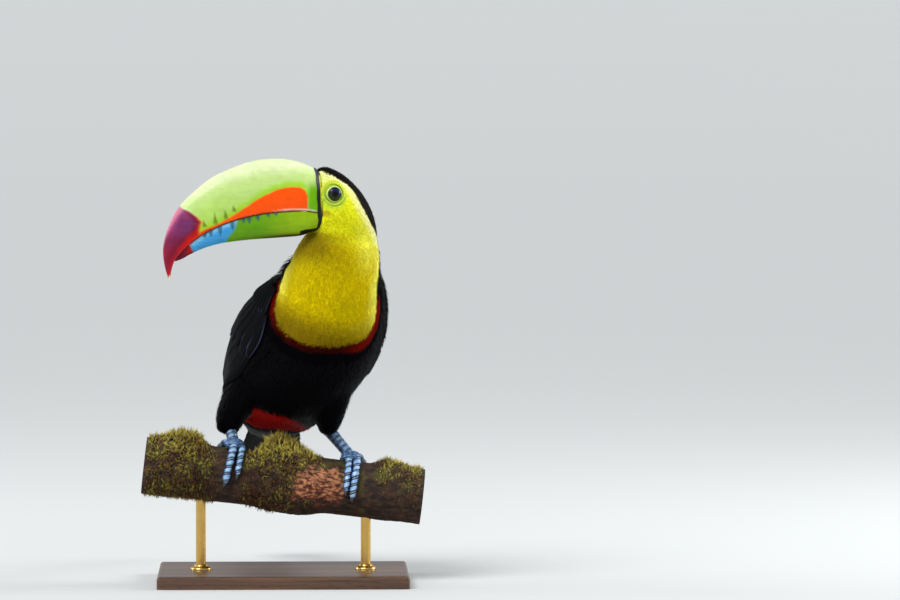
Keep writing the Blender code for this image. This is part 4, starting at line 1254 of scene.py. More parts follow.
def plumage(points):
    """The colour at each point, with its painted light and shade, how yellow, red and white it is, and
    where it lies.
    """
    section, turn, run = in_torso(points)
    away = (points - np.array(MOUTH_CORNER)) / MM
    forward, left, up = away @ np.array(HEAD_FORWARD), away @ np.array(HEAD_LEFT), away[:, 2]
    wander = ripple(points, 7.0, 0.0)
    fine = ripple(points, 2.0, 5.0)
    on_head = smooth(up, HEAD_BOTTOM - 3.0, HEAD_BOTTOM + 1.0)
    face = forward - np.interp(up, *zip(*CAP_EDGE))
    bib = inside_bib(section, turn)
    yellow = np.where(on_head > 0.5, face, bib) + 0.4 * fine
    body = 1 - on_head
    at_sides = smooth(np.abs(turn + 125), 30, 60)
    band = smooth(bib + RED_BAND * (1 + 0.7 * at_sides), -0.8, 0.6)
    band = band * body * smooth(-section, -6.5, -6.2)
    tail = (points - np.array(BODY_MIDDLE)) @ np.array(TAIL_RUN) / MM
    under = smooth(-turn, -5, 25) * smooth(turn, -195, -165)
    x, z = points[:, 0] / MM, points[:, 2] / MM + 0.044 * points[:, 1] / MM + 0.8 * wander
    across, upper_edge, lower_edge = zip(*VENT)
    crissum = smooth(np.interp(x, across, upper_edge) - z, -0.5, 0.5) * under
    crissum *= smooth(z - np.interp(x, across, lower_edge), -0.5, 0.5) * smooth(-section, -3.4, -3.2)
    crissum *= (1 - on_thigh(points)) * smooth(x, -38, -35)
    above = smooth(turn, -360, -359) * smooth(np.cos(np.radians(turn - 90)), 0.35, 0.6)
    rump = smooth(-section, -1.7, -1.4) * above * (1 - smooth(tail, 115, 118))
    rump *= smooth(-under_wing(section, turn), -8, -3)
    rump *= smooth((points - np.array(TAIL_ROOT)) @ np.array(TAIL_RISE) / MM, 1, 5)
    eye_gap = np.hypot(forward - EYE[0] - 0.5, up - EYE[2])
    # Painted light from above: the yellow is paler higher up the bib and face.
    lit = smooth(up, -60, -8)
    nape = smooth(-face, -8.5, -1.5) * on_head
    flank = smooth(-bib, -12, -1) * body * smooth(section, 5.5, 6.3)
    below_flank = body * (1 - 0.6 * flank)
    off_yellow = smooth(-yellow, -0.35, 0.35)
    under_bib = band * smooth(-yellow, -0.2, 0.5)
    # Painted shade on the throat under the bill: olive right under it, ochre over a wider patch.
    shade_under_bill = smooth(forward, -16, 2) * smooth(-up, 12, 18) * smooth(up, -46, -24)
    shadow = smooth(-up, 12, 20) * smooth(up, -62, -26) * smooth(forward, -40, -12)
    gape = smooth(-np.hypot((forward + 4.0) * 0.55, up + 0.2), -3.0, -1.2) * smooth(np.abs(left), 13, 16)
    tint = layered(
        YELLOW["gold"],
        (YELLOW["bright"], 0.2 + 0.8 * lit),
        (YELLOW["spring"], 0.8 * on_head),
        # Lemon on the bib's upper edges and on the neck behind the face: painted light on the sides.
        (YELLOW["lemon"], 0.85 * flank + 0.7 * smooth(-forward, 22, 40) * smooth(up, -60, -20)),
        # The bib's lower part darker, ochre then olive: painted shade where it faces down, with a little
        # random tone.
        (YELLOW["ochre"], 0.95 * smooth(-section, -6.2, -5.2) * below_flank + 0.06 * wander),
        (YELLOW["olive"], 0.55 * smooth(-section, -6.1, -5.2) * below_flank),
        (YELLOW["lime"], 0.8 * on_head * smooth(forward, -26, -8) * smooth(up, -4, 8)),
        (YELLOW["green"], 0.6 * smooth(-eye_gap, -13.5, -9.5)),
        (YELLOW["pale"], 0.6 * smooth(up - 22 + 0.35 * forward, -6, 4) * on_head),
        (YELLOW["pale"], 0.9 * nape),
        (YELLOW["ochre"], 0.7 * shadow),
        (YELLOW["olive"], 0.75 * shade_under_bill),
        (YELLOW["orange"], 0.5 * gape),
        (BLACK, off_yellow),
        (NAPE_BLACK, off_yellow * on_head),
        (BAND_DARK, under_bib),
        (BAND_RED, under_bib * at_sides),
        (CRIMSON, crissum),
        (RUMP_WHITE, rump),
    )
    return {
        "tint": tint, "yellow": yellow, "crissum": crissum, "rump": rump, "forward": forward,
        "up": up, "section": section, "turn": turn, "run": run, "eye": eye_gap, "tail": tail,
    }


def set_corners(bm, places):
    """Moves each corner to its new place."""
    for corner, place in zip(bm.verts, places):
        corner.co = place


def relax(bm, times):
    """Evens out a surface, so many times over."""
    every_way = {"use_axis_x": True, "use_axis_y": True, "use_axis_z": True}
    for _ in range(times):
        bmesh.ops.smooth_vert(bm, verts=bm.verts, factor=0.5, **every_way)


bm = bmesh.new()
for node in FLESH:
    part = bmesh.new()
    part.from_mesh(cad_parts[node].data)
    bmesh.ops.remove_doubles(part, verts=part.verts, dist=0.005 * MM)
    part.normal_update()
    set_corners(part, [v.co + v.normal * SKIN_SWELL for v in part.verts])
    swollen = made_mesh(part, "swollen")
    bm.from_mesh(swollen)
    bpy.data.meshes.remove(swollen)
form = linked("form", made_mesh(bm, "form"))
welded = form.modifiers.new("welded", "REMESH")
welded.mode, welded.voxel_size = "VOXEL", SKIN_FINENESS
bpy.context.view_layer.update()
worked_out = form.evaluated_get(bpy.context.evaluated_depsgraph_get())
skin_mesh = bpy.data.meshes.new_from_object(worked_out)
bpy.data.objects.remove(form)
skin_mesh.name = "skin"
bm = bmesh.new()
bm.from_mesh(skin_mesh)
relax(bm, SKIN_SMOOTHINGS)
bm.normal_update()
spots = np.array([v.co[:] for v in bm.verts])
outward = np.array([v.normal[:] for v in bm.verts])
marks = plumage(spots)
depth = BODY_DEPTH + (BIB_DEPTH - BODY_DEPTH) * smooth(marks["yellow"], -3, 3)
depth += (HEAD_DEPTH - depth) * smooth(marks["up"], -30, -15)
at_cap = smooth(-marks["yellow"], 0, 3) * smooth(-marks["forward"], 18, 34)
depth += 1.0 * MM * at_cap * smooth(marks["up"], -30, -15)
depth += (TAIL_DEPTH - depth) * smooth(marks["tail"], 105, 125)
set_corners(bm, spots - outward * (depth + 0.1 * MM)[:, None])
relax(bm, 2)
bmesh.ops.triangulate(bm, faces=bm.faces)
bmesh.ops.recalc_face_normals(bm, faces=bm.faces)
skin_tree = BVHTree.FromBMesh(bm)
bm.to_mesh(skin_mesh)
bm.free()
skin_mesh.shade_smooth()

skin_points = table_of(skin_mesh.vertices, "co", 3, float)
marks = plumage(skin_points)
colours = np.hstack([marks["tint"], np.ones((len(skin_points), 1))])
layer = skin_mesh.attributes.new("Tint", "FLOAT_COLOR", "POINT")
layer.data.foreach_set("color", colours.astype(np.float32).ravel())

# Tanned skin, dyed by hand: matt, with the fine goose bumps of the feather roots.
skin_finish, tree, surface = finish_of(
    "tanned_skin_dye_and_painted_light", Roughness=0.8, IOR=1.4, Specular_IOR_Level=0.03,
)
roots = in_piece(tree, "TexVoronoi", {"Scale": 600.0})
tinted(tree, surface, roots, 0.0, 0.6, 0.75, 1.1, 0.4, 0.0003, invert=True)
skin = show(skin_mesh, "skin", skin_finish)
bpy.context.view_layer.objects.active = skin
skin.select_set(True)
skin_mesh.uv_layers.new(name="OFBake")
bpy.ops.object.mode_set(mode="EDIT")
bpy.ops.mesh.select_all(action="SELECT")
bpy.ops.uv.smart_project(angle_limit=math.radians(66), island_margin=0.004)
bpy.ops.object.mode_set(mode="OBJECT")
skin.select_set(False)
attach(skin, "root")
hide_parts(*FLESH)

# ---- Eyes and lids -------------------------------------------------------------
# Glass eyes, dark brown with a black pupil, set in naked skin: a black rim, a thin
# pale lid, then green wrinkled skin in a low ring that ends under the feathers.

EYE_RADIUS = 7.0
PUPIL, IRIS = 2.9, 4.8
LID_START, LID_END, LID_OUTSIDE = 4.9, 10.9, 0.84
FACE_FRONT = -3.0 * MM
# The lid's colour by distance from the eye's middle in mm.
LID_COLOURS = (
    (4.9, "0a0b0a"), (5.25, "10140c"), (5.5, "7c8c30"), (5.75, "eef0a0"), (6.05, "e4ec8c"),
    (6.4, "8caa28"), (7.1, "a0c82c"), (7.5, "86aa24"), (7.8, "dcea70"), (8.15, "9cbc1c"),
    (9.0, "b4cc24"), (12.2, "dce038"),
)


def lid_colour(reach):
    """The lid's colour so many mm from the eye's middle."""
    for (a, first), (b, second) in zip(LID_COLOURS, LID_COLOURS[1:]):
        if reach <= b:
            return blend(linear(first), linear(second), (reach - a) / (b - a))
    return linear(LID_COLOURS[-1][1])


# Blown glass, painted from behind: a deep wet shine over dark brown.
glass_finish, tree, surface = finish_of(
    "painted_glass_eye", Roughness=0.3, IOR=1.5, Specular_IOR_Level=0.0, Coat_Weight=0.35,
    Coat_Roughness=0.03,
)
streak = in_piece(tree, "TexNoise", {"Scale": 1500.0, "Detail": 2.0})
tinted(tree, surface, streak, 0.3, 0.7, 0.8, 1.25)

# Naked skin round the eye: thin, finely wrinkled and slightly moist.
lid_finish, tree, surface = finish_of(
    "naked_eye_skin", (1.0, 0.8, 0.3), Roughness=0.5, IOR=1.42, Specular_IOR_Level=0.3,
    Subsurface_Weight=0.1,
)
pores = in_piece(tree, "TexVoronoi", {"Scale": 1500.0})
tinted(tree, surface, pores, 0.0, 0.6, 0.85, 1.08, 0.3, 0.0002)

for side_name, sign in (("left", 1), ("right", -1)):
    middle = in_head(EYE[0], sign * EYE[1], EYE[2])

    def eyeball(u, v):
        angle, polar = u * math.tau, v * math.pi
        reach = math.sin(polar)
        facing = HEAD_LEFT * sign * math.cos(polar)
        out = facing + (HEAD_FORWARD * math.cos(angle) + UP * math.sin(angle)) * reach
        spread = reach * EYE_RADIUS if math.cos(polar) > 0 else EYE_RADIUS
        rays = 0.5 + 0.5 * noise.noise(Vector((math.cos(angle) * 7, math.sin(angle) * 7, spread)))
        # Its brown is painted olive below and blue-black above: a painted reflection of the sky.
        sky = ramp(reach * math.sin(angle) - 0.3 * reach * math.cos(angle), -0.25, 0.45)
        iris = blend(linear("343c14"), linear("1c2458"), sky)
        iris = blend(linear("060706"), iris, 0.35 + 0.5 * rays)
        colour = blend(linear("020203"), iris, ramp(spread, PUPIL - 1.4 - 0.8 * sky, PUPIL + 0.6))
        colour = blend(colour, linear("050505"), ramp(spread, IRIS - 0.3, IRIS + 0.2))
        return middle + out * EYE_RADIUS * MM, colour

    node = "eye_" + side_name
    fit(mapped("eyeball", 64, 48, eyeball), node + "_glass", glass_finish, "eye", node)

    def lids(u, v):
        """Out over the lid and the ring of skin, then back beneath them."""
        angle = u * math.tau
        top = v < LID_OUTSIDE
        share = v / LID_OUTSIDE if top else (1 - v) / (1 - LID_OUTSIDE)
        reach = LID_START + (LID_END - LID_START) * share**1.25
        ovalness = 1 + 0.035 * math.cos(2 * angle)
        across = HEAD_FORWARD * math.cos(angle) * ovalness + UP * math.sin(angle) / ovalness
        spot = middle + across * reach * MM
        past_face = max((spot - MOUTH_CORNER).dot(HEAD_FORWARD) - FACE_FRONT, 0.0)
        start = spot + HEAD_LEFT * sign * 20 * MM - HEAD_FORWARD * past_face
        found = skin_tree.ray_cast(start, -HEAD_LEFT * sign)[0]
        ground = (found - middle).dot(HEAD_LEFT) * sign / MM
        glass = math.sqrt(max(EYE_RADIUS**2 - reach**2, 0.0))
        lip = 0.3 * math.exp(-(((reach - 5.3) / 0.35) ** 2))
        lip += 0.3 * math.exp(-(((reach - 5.85) / 0.3) ** 2))
        over_glass = glass + lip - 0.9 * ramp(5.15 - reach, 0, 0.25)
        broken = 0.75 + 0.5 * noise.noise(Vector((math.cos(angle) * 2, math.sin(angle) * 2, 6.0)))
        fold = 0.5 * broken * math.exp(-(((reach - 7.8 - 0.25 * broken) / 0.34) ** 2))
        fold *= 1 - 0.7 * ramp(math.sin(angle), -0.5, 0.1)
        wrinkle = 0.09 * math.sin(reach * 8.5 + 1.2 * math.sin(3 * angle))
        wrinkle += 0.07 * math.sin(angle * 34) * ramp(reach, 6.5, 8)
        over_skin = ground + 0.5 + fold + wrinkle * ramp(reach, 6.4, 7.2) - 0.9 * ramp(reach, 8.6, 10.6)
        height = over_glass + (over_skin - over_glass) * ramp(reach, 5.9, 7.5)
        height = max(height, glass + 0.15 * ramp(reach, 5.1, 5.4))
        if not top:
            height -= 1.3 * ramp(share, 0.0, 0.15) * ramp(1 - share, 0.0, 0.1)
        colour = lid_colour(reach)
        above = ramp(math.sin(angle), -0.5, 0.1) * ramp(reach, 7.2, 7.6)
        plain = blend(YELLOW["lime"], YELLOW["lemon"], ramp(reach, 7.6, 9.8))
        colour = blend(colour, plain, 0.8 * above)
        # The hollows of the wrinkles and folds are painted darker: painted shade.
        crease = ramp(wrinkle + fold, -0.12, 0.15)
        colour = blend(blend(colour, linear("5c7a2c"), 0.45), colour, crease)
        return spot + HEAD_LEFT * sign * height * MM, colour

    fit(mapped("lids", 120, 64, lids), "eyelids_" + side_name, lid_finish, "plumage")

# ---- Rim of the bill -----------------------------------------------------------
# Black leathery skin where the face meets the bill, a low bead with a painted bluish highlight on its upper
# half, glued down over the edge of the horn.

RIM_MIDDLE_UP, RIM_HALF_UP, RIM_HALF_SIDE = 10.4, 24.4, 17.5
RIM_WIDTH, RIM_THICKNESS, RIM_FULLNESS = 2.3, 0.95, 2.15


def rim(u, v):
    """The bead; above the mouth its back edge is yellow skin, bare as far as the face."""
    angle, turn = u * math.tau, v * math.tau
    c, s = math.cos(angle), math.sin(angle)
    side, rise = bulged(c, 2 / RIM_FULLNESS), bulged(s, 2 / RIM_FULLNESS)
    crease = 0.1 * noise.noise(Vector((c * 9, s * 9, turn)))
    upper = ramp(s, -0.5, 0.1)
    back = ramp(-math.sin(turn), 0.0, 0.9) * upper
    out = (RIM_THICKNESS + crease) * math.cos(turn) - 1.1 * back
    width = RIM_WIDTH * (1 + 0.2 * noise.noise(Vector((c * 4, s * 4, 2.0))))
    forward = -0.3 + width * math.sin(turn) + 0.9 * ramp(-s, 0.5, 1.0) + 1.0 * upper
    left = side * (RIM_HALF_SIDE + out)
    up = RIM_MIDDLE_UP + rise * (RIM_HALF_UP + out)
    # A bluish painted highlight along the bead's upper half, where it faces out.
    painted_highlight = ramp(s, 0.2, 0.6) * ramp(0.45 - abs(math.sin(turn) - 0.45), 0.0, 0.3)
    colour = blend(HORN["black"], HORN["slate"], 0.8 * painted_highlight)
    bare = upper * ramp(-math.sin(turn), 0.05, 0.3) * (1 - ramp(up, 28, 31))
    return in_head(forward, left, up), blend(colour, YELLOW["straw"], bare)


# Leathery skin: black, softly shining, finely creased across the bead.
rim_finish, tree, surface = finish_of(
    "black_leathery_skin", Roughness=0.4, IOR=1.45, Specular_IOR_Level=0.35,
)
crease = in_piece(tree, "TexNoise", {"Scale": 900.0, "Detail": 3.0})
tinted(tree, surface, crease, 0.0, 1.0, 0.7, 1.3, 0.4, 0.0003)
fit(mapped("rim", 220, 24, rim), "bill_rim", rim_finish, "bill_horn")

# ---- Coat of small feathers ----------------------------------------------------
# Hair-like body feathers in tufts, each set by its root in the skin and combed the
# way it grows: back from the bill, down the neck and breast, and out to the tail.

PATCH = 0.003
COAT_SEED = 23
ROOT_DEPTH = 0.35 * MM
# Where the coat is parted into pieces: sections along the torso, mm from the eye
# and down the tail, and degrees round the body.
NECK_FROM, BELLY_BELOW, MANTLE_FROM, MANTLE_TO = 6.45, 3.5, 5.7, 7.2
EYE_CLEARING, TAIL_BARE_FROM = 8.5, 152
FRONT_TURNS, MANTLE_TURNS = (-182, -20), (-250, -182)


def direction(field, points):
    """The way feathers lie at each point of the skin."""
    head = np.array(-HEAD_FORWARD)[None] * 0.85
    droop = smooth(-field["up"], -16, 16) * smooth(-field["forward"], -6, 26)
    head = head - np.array(UP)[None] * (0.1 + 1.25 * droop + 0.5 * smooth(-field["up"], -5, 12))[:, None]
    # Round the eye the feathers part, over it and under it.
    rise, ahead = field["up"] - EYE[2], field["forward"] - EYE[0]
    parting = smooth(-np.hypot(rise, ahead), -16, -9) * smooth(ahead, -3, 4)
    apart = (1.1 * parting * np.sign(rise))[:, None]
    head = head * (1 - 0.5 * parting)[:, None] + np.array(UP)[None] * apart
    head /= np.linalg.norm(head, axis=1)[:, None]
    body = -field["run"]
    share = smooth(field["up"], -42, -16)[:, None]
    lie = body * (1 - share) + head * share
    low = smooth(-points[:, 2], -0.165, -0.135) * smooth(-field["tail"], -75, -55)
    lie = lie * (1 - low)[:, None] + np.array([0.0, 0.12, -1.0])[None] * low[:, None]
    along_tail = smooth(field["tail"], 98, 118)[:, None]
    return lie * (1 - along_tail) + np.array(TAIL_RUN)[None] * along_tail


skin_mesh.calc_loop_triangles()
triangles = table_of(skin_mesh.loop_triangles, "vertices", 3)
loops = table_of(skin_mesh.loop_triangles, "loops", 3)
unwrap = table_of(skin_mesh.uv_layers["OFBake"].data, "uv", 2, np.float32)[loops]
corners = skin_points[triangles]
cross = np.cross(corners[:, 1] - corners[:, 0], corners[:, 2] - corners[:, 0])
areas = np.linalg.norm(cross, axis=1) / 2
face_lie = direction(marks, skin_points)[triangles[:, 0]]
coat_rng = np.random.default_rng(COAT_SEED)


def roots_where(chosen, spacing):
    """Places spread over chosen triangles of the skin, and their spot on its unwrap."""
    weights = areas * chosen
    tries = int(weights.sum() / spacing**2 * 3.2)
    picks = coat_rng.choice(len(areas), size=tries, p=weights / weights.sum())
    a, b = coat_rng.random((2, tries, 1))
    turned = a + b > 1
    a, b = np.where(turned, 1 - a, a), np.where(turned, 1 - b, b)
    c = 1 - a - b
    p, q = corners[picks], unwrap[picks]
    spots = p[:, 0] * a + p[:, 1] * b + p[:, 2] * c
    patches = q[:, 0] * a + q[:, 1] * b + q[:, 2] * c
    kept = scattered(spots, spacing)
    return spots[kept], patches[kept]


def combed(roots, lengths, lifts, stray, stations=4):
    """Stations along each tuft over the skin: places, runs and outward directions."""
    count = len(roots)
    spine, runs, outs = (np.zeros((count, stations, 3)) for _ in range(3))
    strays = coat_rng.normal(size=count) * stray
    for i in range(count):
        point = Vector(roots[i])
        step = lengths[i] / (stations - 1)
        swing = strays[i]
        for k in range(stations):
            place, out, face = skin_tree.find_nearest(point)[:3]
            run = Vector(face_lie[face])
            run = (run - out * run.dot(out)).normalized()
            run = (run + out.cross(run) * swing).normalized()
            spine[i, k] = place + out * lifts[i, k]
            runs[i, k], outs[i, k] = run, out
            point = place + run * step
    return spine, runs, outs


def tufts(
    name, chosen, spacing, length, width, shape, rise, material, paint,
    stray=0.09, ruffle=0.35, dyed_at=2,
):
    """A coat piece: tufts on the chosen triangles, coloured by paint. Sizes are in mm."""
    template, faces = shape
    roots, patches = roots_where(chosen, spacing * MM)
    count = len(roots)
    lengths = length * MM * (1 + 0.16 * coat_rng.normal(size=count)).clip(0.6, 1.4)
    for side in (1, -1):
        lid = np.array(in_head(EYE[0], side * EYE[1], EYE[2]))
        lengths *= 0.35 + 0.65 * smooth(np.linalg.norm(roots - lid, axis=1) / MM, 9.0, 16)
    widths = width * MM * (1 + 0.12 * coat_rng.normal(size=count)).clip(0.7, 1.3)
    height = rise * MM * (1 + ruffle * coat_rng.normal(size=count)).clip(0.3, 1.9)
    shares = np.linspace(0, 1, 4)
    lifts = -ROOT_DEPTH + (height + ROOT_DEPTH)[:, None] * (shares ** 0.75)[None]
    spine, runs, outs = combed(roots, lengths, lifts, stray)
    x, y, z = template.T
    place = x * 3
    low = np.clip(place.astype(int), 0, 2)
    share = (place - low)[None, :, None]
    centre, out, run = (row[:, low] * (1 - share) + row[:, low + 1] * share for row in (spine, outs, runs))
    side = np.cross(out, run)
    curve = y[None, :, None] * widths[:, None, None]
    points = centre + side * curve + out * z[None, :, None] * widths[:, None, None]
    tints = paint(spine[:, dyed_at], x)
    local = np.stack([x - 0.5, y / max(np.ptp(y), 1e-6)], axis=1)
    mesh = joined(name, points, faces, tints, patches, local, np.broadcast_to(out, points.shape))
    fit(mesh, name, material, "plumage")


def down_finish(name, roughness, gleam, **more):
    """Soft feather: a dull body, with barbs that gleam only a little."""
    made, tree, surface = finish_of(
        name, (1.6, 1.3, 0.5), Roughness=roughness, IOR=1.5, Specular_IOR_Level=gleam, **more,
    )
    barbs = in_piece(tree, "TexNoise", {"Scale": 1300.0, "Detail": 2.0})
    tinted(tree, surface, barbs, 0.3, 0.7, 0.93, 1.06)
    return made


yellow_finish = down_finish("soft_yellow_feather", 0.75, 0.03, Subsurface_Weight=0.3)
black_finish = down_finish("glossy_black_feather", 0.5, 0.045)
red_finish = down_finish("soft_red_feather", 0.7, 0.01)

face_marks = {key: value[triangles[:, 0]] for key, value in marks.items()}
section, turn, down_tail = (face_marks[key] for key in ("section", "turn", "tail"))
is_yellow = face_marks["yellow"] > -0.3
is_head = face_marks["up"] > -27
is_red = (face_marks["crissum"] > 0.4) & (down_tail > 20)
is_white = face_marks["rump"] > 0.4
on_tail = down_tail > TAIL_BARE_FROM
clear_of_eye = face_marks["eye"] > EYE_CLEARING
clear_of_bill = (face_marks["forward"] < -0.9) | (face_marks["up"] < -14.5)


def soft_paint(speckle, root_dark, tip_light):
    """Tuft colours from the markings: darker roots, paler tips and odd dark ones."""
    def paint(spots, x):
        field = plumage(spots)
        tone = 1 + 0.035 * coat_rng.normal(size=len(spots))
        dark = coat_rng.random(len(spots)) < speckle
        tone = np.where(dark, tone * 0.72, tone)
        along = root_dark + (tip_light - root_dark) * smooth(x, 0.1, 0.9)
        return field["tint"][:, None] * tone[:, None, None] * along[None, :, None]
    return paint


FINE = strand_shape(3, 2, 2.4, thickness=0.14, start=0.35)
LOOSE = strand_shape(4, 2, 2.6, thickness=0.25, start=0.3)
tufts(
    "coat_face", is_yellow & is_head & clear_of_eye & clear_of_bill, 1.0, 3.8, 0.5,
    FINE, 0.65, yellow_finish, soft_paint(0.015, 0.98, 1.01), stray=0.06, ruffle=0.15,
)
is_upper = section > NECK_FROM
for name, part in (("coat_neck", is_upper), ("coat_bib", ~is_upper)):
    tufts(
        name, is_yellow & ~is_head & part, 1.08, 5.4, 0.56,
        FINE, 0.8, yellow_finish, soft_paint(0.012, 0.98, 1.02), stray=0.05, ruffle=0.12,
    )
near_band = ~is_yellow & ~is_head & (face_marks["yellow"] > -RED_BAND - 5.0) & (section < 6.8)
tufts(
    "coat_band", near_band, 1.15, 4.2, 0.56,
    FINE, 1.0, red_finish, soft_paint(0.0, 0.9, 1.05), ruffle=0.2,
)
tufts(
    "coat_cap", ~is_yellow & is_head, 1.2, 4.6, 0.7,
    FINE, 0.7, black_finish, soft_paint(0.0, 0.7, 1.3),
)
in_front = (turn < FRONT_TURNS[1]) & (turn > FRONT_TURNS[0])
covered = (under_wing(section, turn) > 9) & (section > 1.9) & (section < 5.6)
over_tail = (down_tail > 112) & (np.cos(np.radians(turn - 90)) > 0.3)
plain = ~near_band & ~is_yellow & ~is_head & ~is_red & ~is_white & ~on_tail & ~covered & ~over_tail
mantle = plain & (turn < MANTLE_TURNS[1]) & (turn > MANTLE_TURNS[0])
mantle &= (section > MANTLE_FROM) & (section < MANTLE_TO)
is_belly = section < BELLY_BELOW
for name, part in (("coat_breast", ~is_belly), ("coat_belly", is_belly)):
    tufts(
        name, plain & in_front & part, 1.9, 7.5, 1.0,
        LOOSE, 1.6, black_finish, soft_paint(0.0, 0.7, 1.0), stray=0.06, ruffle=0.2,
    )
tufts(
    "coat_back", plain & ~in_front & ~mantle, 2.1, 7.5, 1.1,
    LOOSE, 1.8, black_finish, soft_paint(0.0, 0.7, 1.0), stray=0.06, ruffle=0.2,
)
tufts(
    "coat_mantle", mantle, 1.8, 8.5, 1.1,
    LOOSE, 3.8, black_finish, soft_paint(0.0, 0.7, 1.0), stray=0.05, ruffle=0.1,
)
tufts(
    "coat_undertail", is_red, 2.0, 9.0, 1.1,
    LOOSE, 1.4, red_finish, soft_paint(0.0, 0.7, 1.05), stray=0.05, ruffle=0.2,
)
tufts(
    "coat_rump", is_white, 2.0, 8.0, 1.1,
    LOOSE, 3.3, red_finish, soft_paint(0.0, 0.85, 1.05), stray=0.05, ruffle=0.2, dyed_at=0,
)

# ---- Wings ---------------------------------------------------------------------
# Each folded wing is closed like a fan over the flank: two rows of coverts, then
# secondaries over the primaries, every feather a stiff glossy vane on a shaft.

# Each row: how many, section of the roots and of the tips, lower and upper share
# of the wing's height at the roots and at the tips, half width in mm, and lift.
WING_ROWS = {
    "primaries": (7, (3.2, 3.6), (6.2, 7.15), (0.04, 0.34), (0.06, 0.55), 5.6, (0.6, 1.3)),
    "secondaries": (9, (2.7, 3.4), (5.0, 6.3), (0.10, 0.98), (0.02, 0.86), 7.4, (1.1, 2.2)),
    "greater_coverts": (10, (1.9, 2.3), (3.3, 4.1), (0.06, 0.97), (0.05, 0.95), 6.0, (1.7, 2.9)),
    "median_coverts": (12, (1.25, 1.6), (2.3, 2.9), (0.07, 0.95), (0.05, 0.95), 5.0, (2.2, 3.3)),
}
VANE_ACROSS, VANE_ALONG = 12, 26
SHAFT_SHARE = 0.42
# How closely a vane follows the skin below it, from 0 to 1.
VANE_HUG = 0.8
# Radians of wave along a vane, for its ribs, and how far they slant.
RIB_WAVE, RIB_SLANT = 260.0, -0.55
BLUNT_PRIMARY, BLUNT_VANE, BLUNT_TAIL = 0.22, 0.4, 0.12
WING_GAP = 4 * MM


def vane_shape():
    """A flat closed strip, later bent to each feather: along, across and face."""
    bm = bmesh.new()
    bmesh.ops.create_cube(bm, size=1.0)
    for axis, parts in ((0, VANE_ALONG), (1, VANE_ACROSS)):
        edges = [e for e in bm.edges if abs((e.verts[0].co - e.verts[1].co)[axis]) > 0.5]
        bmesh.ops.subdivide_edges(bm, edges=edges, cuts=parts - 1, use_grid_fill=True)
    points, faces = corners_and_faces(bm)
    return points + np.array((0.5, 0.0, 0.0)), faces


VANE, VANE_FACES = vane_shape()


def vane_outline(x, blunt):
    """Half width of a vane along its length: a slim foot, full sides, a round tip."""
    foot = smooth(x, -0.08, 0.3) * 0.75 + 0.25
    tip = np.sqrt(np.clip(1 - np.clip((x - (1 - blunt)) / blunt, 0, 1) ** 2.2, 0, 1))
    return foot * tip


def vanes(name, feathers, blunt):
    """A piece of stiff feathers, each a run of places on the skin, a width, lifts and a skew."""
    shapes, patches, tints = [], [], []
    for path, width, (low_lift, high_lift), skew in feathers:
        rows = [(k, *p) for k, p in enumerate(path)]
        last = len(rows) - 1.0
        stations = []
        for k in range(VANE_ALONG + 1):
            t = k / VANE_ALONG * last
            place = Vector(through(rows, t))
            ahead = Vector(through(rows, min(t + 0.1, last))) - Vector(through(rows, max(t - 0.1, 0.0)))
            ground, out = skin_tree.find_nearest(place)[:2]
            stations.append((ground, (ahead - out * ahead.dot(out)).normalized(), out))
        made = np.zeros_like(VANE)
        x, y, z = VANE.T
        half = vane_outline(x, blunt) * width * MM
        seed = float(coat_rng.random() * 50)
        for i in range(len(VANE)):
            ground, run, out = stations[int(round(x[i] * VANE_ALONG))]
            side = out.cross(run)
            nick = 1 + 0.05 * noise.noise(Vector((x[i] * 14, y[i] * 2, seed)))
            across = (y[i] * 2 + skew * (1 - abs(y[i] * 2))) * half[i] * nick
            spot = ground + side * across
            spot = spot.lerp(skin_tree.find_nearest(spot)[0], VANE_HUG)
            shaft = 0.4 * math.exp(-((y[i] - SHAFT_SHARE * skew) / 0.06) ** 2) * (1 - 0.7 * x[i])
            crown = 0.55 * (1 - (2 * y[i]) ** 2) * min(half[i] / (4 * MM), 1)
            lift = low_lift + (high_lift - low_lift) * x[i] + crown
            lift += (0.22 + shaft) * (1 if z[i] > 0 else -0.6)
            made[i] = spot + out * lift * MM
        shapes.append(made)
        face = skin_tree.find_nearest(Vector(path[0]))[2]
        patches.append(unwrap[min(face, len(unwrap) - 1)].mean(axis=0))
        tone = 1 + 0.12 * coat_rng.normal()
        # A few vanes get a bluish painted glint along their outer edges.
        painted_glint = smooth(np.abs(2 * y), 0.7, 1.0) * smooth(x, 0.3, 0.7) * float(coat_rng.random() ** 2.5)
        glint_tint = np.array(QUILL_GLINT)[None] * painted_glint[:, None]
        tints.append(np.array(QUILL_BLACK)[None] * tone + glint_tint)
    local = np.stack([VANE[:, 0] - 0.5, VANE[:, 1]], axis=1)
    mesh = joined(name, np.array(shapes), VANE_FACES, np.array(tints), np.array(patches), local)
    shared = mesh.uv_layers.new(name="Vane")
    corner = table_of(mesh.loops, "vertex_index", 1)[:, 0]
    flat = np.stack([VANE[:, 0], VANE[:, 1] + 0.5], axis=1)[corner % len(VANE)]
    shared.data.foreach_set("uv", flat.astype(np.float32).ravel())
    fit(mesh, name, quill_finish, "plumage")


